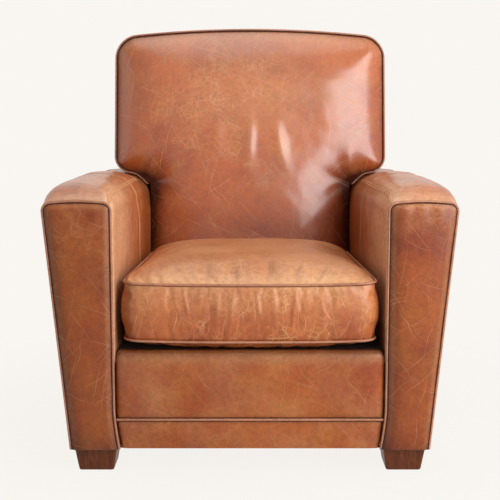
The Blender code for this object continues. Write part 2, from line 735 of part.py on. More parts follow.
def make_back_welt(half, stem, paint):
    """Piping sewn round the face of the back, from one inner corner to the other."""
    outline = [(x, back_top_z(x)) for x in half]
    side_low = wing_low_z(BACK_HALF)
    side_high = back_top_z(BACK_HALF)
    outline += [(BACK_HALF, z) for z in spread(side_high, side_low, 8)[1:-1]]
    outline += [(x, wing_low_z(x)) for x in half[:stem:-1]]
    outline = [(-x, z) for x, z in outline[:0:-1]] + outline
    path = []
    reach = WELT_RADIUS + CLEARANCE
    for k, (x, z) in enumerate(outline):
        x0, z0 = outline[max(k - 1, 0)]
        x1, z1 = outline[min(k + 1, len(outline) - 1)]
        along = Vector((x1 - x0, 0, z1 - z0)).normalized()
        out = Vector((-along.z, 0, along.x))
        path.append(Vector((x, pad_rim_y(z), z)) + reach * out)
    tube("back_welt", path, WELT_RADIUS - CLEARANCE, Vector((0, 1, 0)), paint["piping"])


def make_outside_back(paint):
    """Outside back panel: it closes the rear of the back pad and of both arms."""
    inner = [0.0, 0.5 * BACK_HALF] + [BACK_HALF - BACK_CORNER + BACK_CORNER * math.sin(math.radians(a))
                                      for a in (0, 30, 60, 90)]
    arm_count = 5
    half_columns = len(inner) - 1 + arm_count
    low_rows = 6
    high_rows = 6

    def corner_share(step):
        return math.sin(0.5 * math.pi * step / arm_count)

    def place(i, j):
        side = j - half_columns
        sign = -1 if side < 0 else 1
        step = abs(side)
        if step < len(inner):
            x = inner[step]
            if i <= low_rows:
                return sign * x, BODY_BOTTOM + (ARM_TOP - BODY_BOTTOM) * i / low_rows
            share = (i - low_rows) / high_rows
            return sign * x, ARM_TOP + (back_top_z(x) - ARM_TOP) * share
        share = corner_share(step - len(inner) + 1)
        edge = arm_outer_x(ARM_TOP - ARM_OUTER_RADIUS)
        top = arm_top_z(BACK_HALF + (edge - BACK_HALF) * share)
        z = BODY_BOTTOM + (top - BODY_BOTTOM) * i / low_rows
        return sign * (BACK_HALF + (arm_outer_x(z) - BACK_HALF) * share), z

    def back(i, j):
        x, z = place(i, j)
        return Vector((x, rear_y(z) + CLEARANCE, z))

    def face(i, j):
        x, z = place(i, j)
        across = 1 - min(abs(x) / BACK_HALF, 1.0) ** 2
        share = (z - BODY_BOTTOM) / (BACK_TOP - BODY_BOTTOM)
        crown = BACK_PANEL_CROWN * across * math.sin(math.pi * min(share, 1.0))
        return Vector((x, rear_y(z) + CLEARANCE + BACK_PANEL + crown, z))

    def kept(i, j):
        return i < low_rows or arm_count <= j < 2 * half_columns - arm_count

    cells = outline_cells(2 * half_columns, low_rows + high_rows, kept)
    return pad("outside_back", cells, face, back, paint["leather"])


# Seat

def cushion_rear_y():
    """Rear of the cushion, just clear of the crowned back and with room for the zip."""
    heights = spread(CUSHION_LOW_WELT - WELT_RADIUS, CUSHION_TOP_WELT + CUSHION_CROWN, 12)
    nearest = min(back_face_y(x, z) for x in spread(0.0, SEAT_HALF_REAR, 26) for z in heights)
    return nearest - 2 * WELT_RADIUS - 2 * CLEARANCE


def make_cushion(paint):
    """Loose boxed seat cushion with a crowned top, two welts and a zip at the rear."""
    front = FACE_Y + CUSHION_SETBACK + 2 * WELT_RADIUS
    rear = cushion_rear_y()
    corner = [CUSHION_CORNER * (1 - math.cos(math.radians(a))) for a in (0, 30, 60, 90)]
    ys = [front + c for c in corner]
    ys += spread(front + CUSHION_CORNER, rear - CUSHION_CORNER, 12)[1:-1]
    ys += [rear - c for c in corner[::-1]]
    columns = 22
    rows = len(ys) - 1

    def half_width(y):
        edge = min(y - front, rear - y)
        return seat_half(y) - CUSHION_SIDE_GAP - arc_rise(CUSHION_CORNER - edge, CUSHION_CORNER)

    def spot(i, j):
        share = -1 + 2 * j / columns
        return share * half_width(ys[i]), ys[i]

    def fullness(i, j):
        across = abs(-1 + 2 * j / columns)
        along = abs(2 * (ys[i] - front) / (rear - front) - 1)
        return ((1 - across ** 3) * (1 - along ** 4)) ** 0.7

    def face(i, j):
        x, y = spot(i, j)
        return Vector((x, y, CUSHION_TOP_WELT + CUSHION_CROWN * fullness(i, j)))

    def back(i, j):
        x, y = spot(i, j)
        belly = min(1.0, 1.7 * fullness(i, j)) * CUSHION_BELLY
        return Vector((x, y, CUSHION_LOW_WELT - belly))

    def swell(i, j):
        x, y = spot(i, j)
        if y > rear - CUSHION_CORNER / 2:
            return 0.0
        pucker = 0.75 + 0.25 * math.cos(math.pi * j) if i == 0 else 1.0
        return CUSHION_SWELL * pucker

    cells = outline_cells(columns, rows, lambda i, j: True)
    pad("seat_cushion", cells, face, back, paint["leather"], rings=3, swell=swell, flat_back=False)
    loop = boundary(cells)
    for name, height in (("top", CUSHION_TOP_WELT), ("bottom", CUSHION_LOW_WELT)):
        flat = [Vector((*spot(*key), height)) for key in loop]
        path = []
        for k, point in enumerate(flat):
            along = (flat[(k + 1) % len(flat)] - flat[k - 1]).normalized()
            out = along.cross(Vector((0, 0, 1)))
            if out.dot(point - Vector((0, (front + rear) / 2, height))) < 0:
                out = -out
            path.append(point + (WELT_RADIUS + CLEARANCE) * out)
        tube("cushion_welt_" + name, path, WELT_RADIUS - CLEARANCE, Vector((0, 0, 1)),
             paint["piping"], closed=True)
    middle = (CUSHION_LOW_WELT + CUSHION_TOP_WELT) / 2
    low = (-ZIP_LENGTH / 2, rear + CLEARANCE, middle - ZIP_WIDTH / 2)
    high = (ZIP_LENGTH / 2, rear + CLEARANCE + ZIP_THICKNESS, middle + ZIP_WIDTH / 2)
    board("cushion_zip", low, high, paint["zip"])


def make_deck(paint):
    """Padded deck over the springs, under the cushion and the foot of the back pad."""
    front = RAIL_FACE_Y + RAIL_COVER + CLEARANCE
    rear = rear_y(DECK_BOTTOM) - BACK_POST_DEPTH - 2 * CLEARANCE
    half_front = seat_half(front) - 2 * CLEARANCE
    half_rear = SEAT_HALF_REAR - 2 * CLEARANCE
    outline = (
        (-half_front, front), (half_front, front), (half_rear, PAD_FRONT_Y),
        (half_rear, rear), (-half_rear, rear), (-half_rear, PAD_FRONT_Y),
    )
    slab("seat_deck", outline, DECK_BOTTOM, DECK_TOP, paint["lining"])


def rail_half(z):
    """Half the width of the front rail's cover between the welts of the arm fronts."""
    return facing_inner_x(z) - 2 * CLEARANCE


def rail_section(low, high, radius_low, radius_high):
    """Section of a padded cover on the front rail, as (y, z) points."""
    rear = RAIL_FACE_Y + RAIL_COVER
    points = [(rear, low), (RAIL_FACE_Y + radius_low, low)]
    points += [(RAIL_FACE_Y + radius_low * (1 - math.sin(math.radians(a))),
                low + radius_low * (1 - math.cos(math.radians(a)))) for a in (30, 60, 90)]
    inner = spread(low + radius_low, high - radius_high, 5)[1:-1]
    for k, z in enumerate(inner):
        bow = math.sin(math.pi * (k + 1) / (len(inner) + 1))
        points.append((RAIL_FACE_Y - RAIL_COVER_CROWN * bow, z))
    points += [(RAIL_FACE_Y + radius_high * (1 - math.cos(math.radians(a))),
                high - radius_high * (1 - math.sin(math.radians(a)))) for a in (0, 30, 60, 90)]
    points.append((rear, high))
    return points


def make_rail_part(name, low, high, radius_low, radius_high, paint):
    """One padded cover across the front rail."""
    section = rail_section(low, high, radius_low, radius_high)
    rings = []
    for share in spread(-1.0, 1.0, 14):
        flatten = 1 - abs(share) ** 6
        ring = []
        for y, z in section:
            if y < RAIL_FACE_Y:
                y = RAIL_FACE_Y + (y - RAIL_FACE_Y) * flatten
            ring.append(Vector((share * rail_half(z), y, z)))
        rings.append(ring)
    return loft(name, rings, paint["leather"])


def make_front_rail(paint):
    """Leather cover of the front rail, the band below it and the welt between."""
    band_top = BODY_BOTTOM + BAND_HEIGHT
    edge = 0.4 * WELT_RADIUS
    make_rail_part("rail_band", BODY_BOTTOM, band_top, edge, edge, paint)
    welt_z = band_top + WELT_RADIUS
    cover_low = band_top + 2 * WELT_RADIUS
    make_rail_part("rail_cover", cover_low, DECK_TOP, edge, RAIL_COVER_RADIUS, paint)
    half = rail_half(welt_z) - CLEARANCE
    path = [Vector((x, RAIL_FACE_Y + WELT_RADIUS / 2, welt_z)) for x in spread(-half, half, 4)]
    tube("rail_welt", path, WELT_RADIUS - CLEARANCE, Vector((0, 0, 1)), paint["piping"])


def make_dust_cover(paint):
    """Thin cloth under the frame, cut away round the feet."""
    top = BODY_BOTTOM - CLEARANCE
    half = ARM_OUTER_LOW - DUST_COVER_MARGIN
    front = FACE_Y + 2 * DUST_COVER_MARGIN
    rear = rear_y(BODY_BOTTOM) - DUST_COVER_MARGIN
    reach = FOOT_INSET + FOOT_TOP_WIDTH + DUST_COVER_MARGIN / 2
    xs = (-half, reach - ARM_OUTER_LOW, ARM_OUTER_LOW - reach, half)
    ys = (front, FACE_Y + reach, rear_y(BODY_BOTTOM) - reach, rear)
    cells = outline_cells(3, 3, lambda i, j: i == 1 or j == 1)
    pad("dust_cover", cells, lambda i, j: Vector((xs[j], ys[i], top)),
        lambda i, j: Vector((xs[j], ys[i], top - DUST_COVER)), paint["lining"])


def main():
    """Build the chair from the floor up."""
    for old in list(bpy.data.objects):
        bpy.data.objects.remove(old, do_unlink=True)
    paint = make_materials()
    make_seat_frame(paint)
    make_springs(paint)
    make_back_frame(paint)
    make_deck(paint)
    for side, sign in SIDES.items():
        make_arm_cover(side, sign, paint)
        make_facing(side, sign, paint)
    make_back_pad(paint)
    make_outside_back(paint)
    make_front_rail(paint)
    make_cushion(paint)
    make_dust_cover(paint)


main()
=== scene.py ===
# %% [markdown]
# # A worn leather club chair
#
# The chair's frame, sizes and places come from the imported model, which stays as it is.
# This script dresses it: each leather cover, cushion, piping and seam is made again with
# the folds, cracks and rubbed edges that years of sitting give it, and the wooden and
# steel parts get their finish. Everything is in metres, with +Z up, and the chair faces -Y.

# %% Load the frame
import math

import bmesh
import bpy
import numpy as np
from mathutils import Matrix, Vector, noise


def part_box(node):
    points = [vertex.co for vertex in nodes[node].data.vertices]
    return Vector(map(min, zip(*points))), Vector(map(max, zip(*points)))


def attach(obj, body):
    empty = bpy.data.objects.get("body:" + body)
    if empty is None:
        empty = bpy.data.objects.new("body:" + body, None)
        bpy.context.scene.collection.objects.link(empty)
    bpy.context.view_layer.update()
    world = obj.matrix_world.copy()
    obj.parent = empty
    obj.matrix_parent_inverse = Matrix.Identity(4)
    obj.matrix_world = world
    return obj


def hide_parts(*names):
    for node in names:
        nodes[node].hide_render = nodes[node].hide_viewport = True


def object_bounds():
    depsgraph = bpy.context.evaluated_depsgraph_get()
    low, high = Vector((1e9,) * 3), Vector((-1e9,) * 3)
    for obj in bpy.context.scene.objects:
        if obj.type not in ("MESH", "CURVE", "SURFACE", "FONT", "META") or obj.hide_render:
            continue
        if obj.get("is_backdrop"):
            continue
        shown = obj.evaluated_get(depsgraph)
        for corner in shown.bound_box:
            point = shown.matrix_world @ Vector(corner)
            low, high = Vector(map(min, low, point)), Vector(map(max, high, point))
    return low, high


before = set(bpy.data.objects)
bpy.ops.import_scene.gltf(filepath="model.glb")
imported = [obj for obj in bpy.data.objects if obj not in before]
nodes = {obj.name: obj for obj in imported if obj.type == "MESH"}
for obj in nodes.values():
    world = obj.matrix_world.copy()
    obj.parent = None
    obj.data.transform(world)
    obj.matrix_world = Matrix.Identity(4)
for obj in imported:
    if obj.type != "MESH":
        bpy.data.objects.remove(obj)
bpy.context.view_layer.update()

MM = 0.001

# %% [markdown]
# ## The chair's sizes
#
# The covers follow the same sizes as the frame. Those that a node's box gives are read
# from it, so that a cover always fits what carries it, and the rest are written here.

# %% Sizes of the chair
CLEARANCE = 0.3 * MM
WELT_RADIUS = 3 * MM
FACING_THICKNESS = 14 * MM
FACING_CORNER = 14 * MM
RAIL_SETBACK = 10 * MM
CUSHION_SETBACK = 6 * MM

body_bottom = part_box("arm_cover_right")[0].z
arm_front_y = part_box("arm_cover_right")[0].y
face_y = arm_front_y - CLEARANCE - FACING_THICKNESS
rail_face_y = face_y + RAIL_SETBACK
deck_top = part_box("seat_deck")[1].z
pad_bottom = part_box("back_pad")[0].z

ARM_TOP = 0.583
ARM_LENGTH = 0.790
ARM_WIDTH_TOP = 0.1505
ARM_WIDTH_LOW = 0.0990
ARM_INNER_RADIUS = 0.048
ARM_OUTER_RADIUS = 0.038
ARM_CAMBER = 0.003
ARM_CROWN = 0.013
ARM_CROWN_REACH = 0.057
ARM_CORNER_SOFT = 0.014
ARM_PADDING = 0.028
HOLLOW_EDGE = 0.002
ARM_FRONT_DROP = 0.019
ARM_FRONT_TUCK = 0.003
ARM_FRONT_ROUND = 0.075
SEAM_SETBACK = 0.404
FRONT_CORNER = FACING_CORNER + 2 * WELT_RADIUS

SEAT_HALF_FRONT = 0.277
SEAT_TAPER = 0.018
SEAT_HALF_REAR = SEAT_HALF_FRONT - SEAT_TAPER
FACING_CROWN = 0.006
FACING_FLARE = 0.010
FLARE_HEIGHT = 0.085

BACK_SETBACK = 0.575
BACK_TOP = 0.960
WING_WIDTH = 0.089
BACK_HALF = SEAT_HALF_REAR + WING_WIDTH
BACK_ARCH = 0.021
BACK_CORNER = 0.050
BACK_LOWER_CORNER = 0.034
FRONT_RAKE = 0.180
REAR_RAKE = 0.095
BACK_CROWN = 0.046
BACK_CROWN_REACH = 0.050
BACK_LOOSE = 0.008
BACK_SWELL = 0.005
BACK_WALL = 0.022
BACK_POST_DEPTH = 0.036
BACK_PANEL = 0.012
BACK_PANEL_CROWN = 0.008

CUSHION_SIDE_GAP = 0.0205
CUSHION_BOXING = 0.118
CUSHION_CORNER = 0.030
CUSHION_CROWN = 0.052
CUSHION_BELLY = 0.0185
CUSHION_SWELL = 0.007
RAIL_COVER = 0.022
RAIL_COVER_CROWN = 0.007
BAND_HEIGHT = 0.059
FOOT_INSET = 0.012
FOOT_WIDTH = 0.088

pad_front_y = arm_front_y + BACK_SETBACK
arm_outer_top = SEAT_HALF_FRONT + ARM_WIDTH_TOP
arm_outer_low = SEAT_HALF_FRONT + ARM_WIDTH_LOW
wing_gap = 2 * WELT_RADIUS + 4 * CLEARANCE
wing_radius = ARM_INNER_RADIUS + wing_gap
shoulder = ARM_TOP - ARM_INNER_RADIUS + math.sqrt(wing_radius ** 2 - ARM_INNER_RADIUS ** 2)
cushion_low_welt = deck_top + CLEARANCE + CUSHION_BELLY
cushion_top_welt = cushion_low_welt + CUSHION_BOXING
SIDES = {"left": -1, "right": 1}
print("arm front y", round(arm_front_y, 4), "seat deck top", round(deck_top, 4))

# %% [markdown]
# ## Curves that the covers share
#
# A real chair is cut from a few patterns, and neighbours share their edges: the wing of
# the back lies along the top of the arm, and the rail cover ends where the arm fronts
# begin. Each such edge is one function here, so both pieces follow the same line.

# %% Shared curves


def clamp(value):
    """Value held between 0 and 1."""
    return min(max(value, 0.0), 1.0)


def rear_y(z):
    """Rear plane of the arms and the back, which leans back with height."""
    return arm_front_y + ARM_LENGTH + REAR_RAKE * (z - body_bottom)


def rim_y(z):
    """Front rim of the back, where its face is sewn to its side strip."""
    return pad_front_y + FRONT_RAKE * (z - pad_bottom)


def seat_half(y):
    """Half the space between the arms, which narrows towards the back."""
    share = clamp((y - arm_front_y) / (pad_front_y - arm_front_y))
    return SEAT_HALF_FRONT - SEAT_TAPER * share


def arm_outer_x(z):
    """Outer side of an arm, which leans in towards the floor."""
    share = (z - body_bottom) / (ARM_TOP - body_bottom)
    return arm_outer_low + (arm_outer_top - arm_outer_low) * share


def arc_rise(distance, radius):
    """Height lost by a round corner at a distance into it."""
    reach = min(max(distance, 0.0), radius)
    return radius - math.sqrt(radius * radius - reach * reach)


def arm_top_z(x):
    """Top of the full arm section under the wings of the back."""
    inner = SEAT_HALF_REAR + ARM_INNER_RADIUS
    outer = arm_outer_x(ARM_TOP - ARM_OUTER_RADIUS) - ARM_OUTER_RADIUS
    drop = arc_rise(inner - abs(x), ARM_INNER_RADIUS) + arc_rise(abs(x) - outer, ARM_OUTER_RADIUS)
    share = clamp((abs(x) - inner) / (outer - inner))
    return ARM_TOP + ARM_CAMBER * math.sin(math.pi * share) - drop


def back_top_z(x):
    """Arched top edge of the back with its round corners."""
    arch = BACK_ARCH * (x / BACK_HALF) ** 2
    return BACK_TOP - 2 * WELT_RADIUS - arch - arc_rise(abs(x) - BACK_HALF + BACK_CORNER, BACK_CORNER)


def wing_low_z(x):
    """Lower edge of the wings, which lie on the arms with the piping between."""
    corner = arc_rise(abs(x) - BACK_HALF + BACK_LOWER_CORNER, BACK_LOWER_CORNER)
    turn = SEAT_HALF_REAR + ARM_INNER_RADIUS - max(abs(x), SEAT_HALF_REAR)
    if turn > 0:
        return ARM_TOP - ARM_INNER_RADIUS + math.sqrt(wing_radius ** 2 - turn ** 2) + corner
    return arm_top_z(x) + wing_gap + corner


def front_inner_x(z):
    """Inner edge of an arm front, which turns in a little near the floor."""
    share = clamp((body_bottom + FLARE_HEIGHT - z) / FLARE_HEIGHT)
    return SEAT_HALF_FRONT - FACING_FLARE * share ** 1.5


def nearest(*distances):
    """Smooth least distance: it rounds the ridges where two seams are equally far."""
    close = [max(d, 1e-6) for d in distances]
    return sum(d ** -4 for d in close) ** -0.25


# %% [markdown]
# ## Helpers for meshes
#
# Every cover is a closed mesh that is worked out point by point. A loft joins rings, as
# for an arm, and a pad is a face on a grid with a strip sewn round it, as for a cushion.
# Wear, painted light and painted shade are stored on the points as attributes that the
# leather reads: rub is where the colour is rubbed away, on the arms' inner sides also
# painted light, seam is the dirt beside a seam together with painted shade in creases,
# corners and on sides turned from the light, crack is worn skin, and spared is where
# nothing scratches the leather.

# %% Numbers and noise


def spread(low, high, count):
    """Evenly spaced values from low to high."""
    return [low + (high - low) * k / count for k in range(count + 1)]


def arc(middle, radius, start, end, count):
    """Points of an arc about a middle, from one angle in degrees to another."""
    return [(middle[0] + radius * math.cos(a), middle[1] + radius * math.sin(a))
            for a in spread(math.radians(start), math.radians(end), count)]


def bell(value, middle, width):
    """Bell-shaped bump that is 1 at the middle."""
    return math.exp(-(((value - middle) / width) ** 2))


def ripple(point, scale, seed=0.0):
    """Smooth noise from -1 to 1 whose waves have the given size in metres."""
    return noise.noise(Vector(point) / scale + Vector((seed, seed * 1.7, -seed)))


# %% Closed meshes from rings and grids


def linked(name, data):
    """New object with its data, in the scene."""
    made = bpy.data.objects.new(name, data)
    bpy.context.scene.collection.objects.link(made)
    return made


def mesh_piece(name, points, faces, material):
    """Closed mesh with outward faces and one material, at the origin."""
    data = bpy.data.meshes.new(name)
    data.from_pydata([tuple(p) for p in points], [], faces)
    mesh = bmesh.new()
    mesh.from_mesh(data)
    bmesh.ops.recalc_face_normals(mesh, faces=mesh.faces)
    mesh.to_mesh(data)
    mesh.free()
    data.shade_smooth()
    data.materials.append(material)
    return linked(name, data)


def loft(name, rings, material, closed=False):
    """Skin a row of rings that have the same number of points."""
    count = len(rings[0])
    faces = []
    turns = len(rings) if closed else len(rings) - 1
    for r in range(turns):
        a, b = r * count, (r + 1) % len(rings) * count
        for k in range(count):
            n = (k + 1) % count
            faces.append((a + k, a + n, b + n, b + k))
    if not closed:
        faces.append(tuple(range(count)))
        faces.append(tuple(range((len(rings) - 1) * count, len(rings) * count)))
    return mesh_piece(name, [p for ring in rings for p in ring], faces, material)


def boundary(cells):
    """Corners of the outline of a set of grid cells, in order."""
    edges = set()
    for i, j in cells:
        square = ((i, j), (i + 1, j), (i + 1, j + 1), (i, j + 1))
        edges.update(zip(square, square[1:] + square[:1]))
    follow = {a: b for a, b in edges if (b, a) not in edges}
    start = min(follow)
    loop = [start]
    while follow[loop[-1]] != start:
        loop.append(follow[loop[-1]])
    return loop


def grid(rows, columns):
    """Cells of a full grid."""
    return [(i, j) for i in range(rows) for j in range(columns)]


def pad(name, cells, spot, face, back, material, layers=1, bulge=None, full_back=False):
    """Padded form: a face on grid cells, a strip of layers round it and a back. The spot
    of a corner is two numbers, from which face and back make its points."""
    corners = sorted({c for i, j in cells for c in ((i, j), (i + 1, j), (i, j + 1), (i + 1, j + 1))})
    front = {key: face(*spot(*key)) for key in corners}
    points = list(front.values())
    index = {key: k for k, key in enumerate(corners)}
    faces = [(index[i, j], index[i + 1, j], index[i + 1, j + 1], index[i, j + 1]) for i, j in cells]
    loop = boundary(cells)
    rear = {key: back(*spot(*key)) for key in (corners if full_back else loop)}
    low = {key: len(points) + k for k, key in enumerate(rear)}
    points += rear.values()
    if full_back:
        faces += [(low[i, j], low[i, j + 1], low[i + 1, j + 1], low[i + 1, j]) for i, j in cells]
    else:
        faces.append(tuple(low[key] for key in loop))
    rows = [[index[key] for key in loop]]
    center = sum((front[key] for key in loop), Vector()) / len(loop)
    for share in spread(0.0, 1.0, layers)[1:-1]:
        rows.append([])
        for k, key in enumerate(loop):
            a, b = front[key], rear[key]
            along = front[loop[(k + 1) % len(loop)]] - front[loop[k - 1]]
            out = along.cross(a - b).normalized()
            if out.dot(a - center) < 0:
                out = -out
            rows[-1].append(len(points))
            points.append(a.lerp(b, share) + (bulge(key, share) if bulge else 0.0) * out)
    rows.append([low[key] for key in loop])
    for a, b in zip(rows, rows[1:]):
        for k in range(len(loop)):
            n = (k + 1) % len(loop)
            faces.append((a[k], a[n], b[n], b[k]))
    return mesh_piece(name, points, faces, material)


# %% Moving and painting the points of a mesh


def baked(piece):
    """Replace an object's mesh by what its modifiers make of it."""
    graph = bpy.context.evaluated_depsgraph_get()
    data = bpy.data.meshes.new_from_object(piece.evaluated_get(graph))
    piece.modifiers.clear()
    piece.data = data
    return piece


def places_of(piece, kind="co"):
    """Places of a mesh's points as an array, or their normals."""
    values = np.empty(len(piece.data.vertices) * 3, np.float32)
    piece.data.vertices.foreach_get(kind, values)
    return values.reshape(-1, 3).astype(float)


def move_to(piece, places):
    """Give a mesh's points new places."""
    piece.data.vertices.foreach_set("co", places.astype(np.float32).ravel())
    piece.data.update()


def push(piece, height):
    """Move each point along its normal by a height that is worked out from its place."""
    places, normals = places_of(piece), places_of(piece, "normal")
    lift = np.array([height(p, n) for p, n in zip(places, normals)])
    move_to(piece, places + normals * lift[:, None])


def paint(piece, **wear):
    """Store each named kind of wear, painted light and painted shade, worked out from a point's place and
    normal.
    """
    places, normals = places_of(piece), places_of(piece, "normal")
    for kind, rule in wear.items():
        values = np.array([clamp(rule(p, n)) for p, n in zip(places, normals)], np.float32)
        piece.data.attributes.new(kind, "FLOAT", "POINT").data.foreach_set("value", values)


def settle(piece, replaced=()):
    """Finish a piece: it rides on the chair, and the nodes that it replaces are hidden."""
    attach(piece, "root")
    if replaced:
        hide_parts(*replaced)
    print(piece.name, len(piece.data.polygons), "faces")


# %% [markdown]
# ## Aged leather
#
# The covers are waxed aniline leather: the dye soaks into the hide and no paint hides
# the grain, so the colour wanders from deep red-brown to golden tan. Where people rub
# against it the dye wears off and the tan fibres show. Dirt and wax gather beside the
# seams, and the same dark tone is painted as shade into creases, corners and sides
# turned from the light. Scratches and bending leave pale hairlines, as straight marks
# and as networks. One function makes every variant, with sizes in millimetres turned
# into scales.

# %% Colours and the function that adds a node


def linear(tone):
    """sRGB hex to the linear colour that Blender's sockets take."""
    parts = [int(tone[k:k + 2], 16) / 255 for k in (1, 3, 5)]
    return tuple(c / 12.92 if c <= 0.04045 else ((c + 0.055) / 1.055) ** 2.4 for c in parts) + (1.0,)


def feed(tree, node, inputs):
    """Give a node's inputs their links, values or hex colours."""
    for key, value in inputs.items():
        if isinstance(value, bpy.types.NodeSocket):
            tree.links.new(value, node.inputs[key])
        else:
            node.inputs[key].default_value = linear(value) if isinstance(value, str) else value


def add(tree, kind, inputs, out=0, **settings):
    """Add a node with its settings, values and links, and return one of its outputs."""
    made = tree.nodes.new(kind)
    for key, value in settings.items():
        setattr(made, key, value)
    feed(tree, made, inputs)
    return made.outputs[out]


def new_material(name):
    """Empty material, its tree, its Principled shader and the place on the object."""
    material = bpy.data.materials.new(name)
    material.use_nodes = True
    tree = material.node_tree
    place = add(tree, "ShaderNodeTexCoord", {}, out="Object")
    return material, tree, tree.nodes["Principled BSDF"], place


# %% Aged leather

# Sockets by number: a Map Range has From Min, From Max, To Min and To Max at 1 to 4, and
# a Mix of colours has its factor at 0, its colours at 6 and 7 and its result at 2
COLOURS = {"out": 2, "data_type": "RGBA"}


def hairlines(tree, place, turn, across, along):
    """Scratches: cells drawn out along one direction, whose middles show as thin dashes."""
    turn = [math.radians(a) for a in turn]
    drawn = add(tree, "ShaderNodeMapping",
                {"Vector": place, "Rotation": turn, "Scale": (across, 0.35 * along, along)},
                vector_type="TEXTURE")
    cells = add(tree, "ShaderNodeTexVoronoi", {"Vector": drawn, "Scale": 1.0})
    return add(tree, "ShaderNodeMapRange", {"Value": cells, 1: 0.04, 2: 0.14, 3: 1.0, 4: 0.0})


def cracks(tree, place, cell, width):
    """Network of cracks: the borders between cells of a size."""
    net = add(tree, "ShaderNodeTexVoronoi", {"Vector": place, "Scale": 1 / cell}, feature="DISTANCE_TO_EDGE")
    return add(tree, "ShaderNodeMapRange", {"Value": net, 1: 0.0, 2: width / cell, 3: 1.0, 4: 0.0})


def highest(tree, first, *others):
    """Greatest of several values at each place."""
    for other in others:
        first = add(tree, "ShaderNodeMath", {0: first, 1: other}, operation="MAXIMUM")
    return first


# Directions of the scratches, as turns in degrees of their long axis from upright: on
# what faces the front, on the arms, whose sides face outward, and on the cushion
FACING_SIDES = ((0, 52, 0), (0, -38, 0), (0, 12, 0), (0, -68, 0))
SLEEVE_SIDES = ((0, 52, 90), (0, -38, 90), (0, 12, 84), (0, -68, 96))
CUSHION_SIDES = ((0, 8, 4), (0, -14, -6), (0, 30, 20), (70, 0, 55))


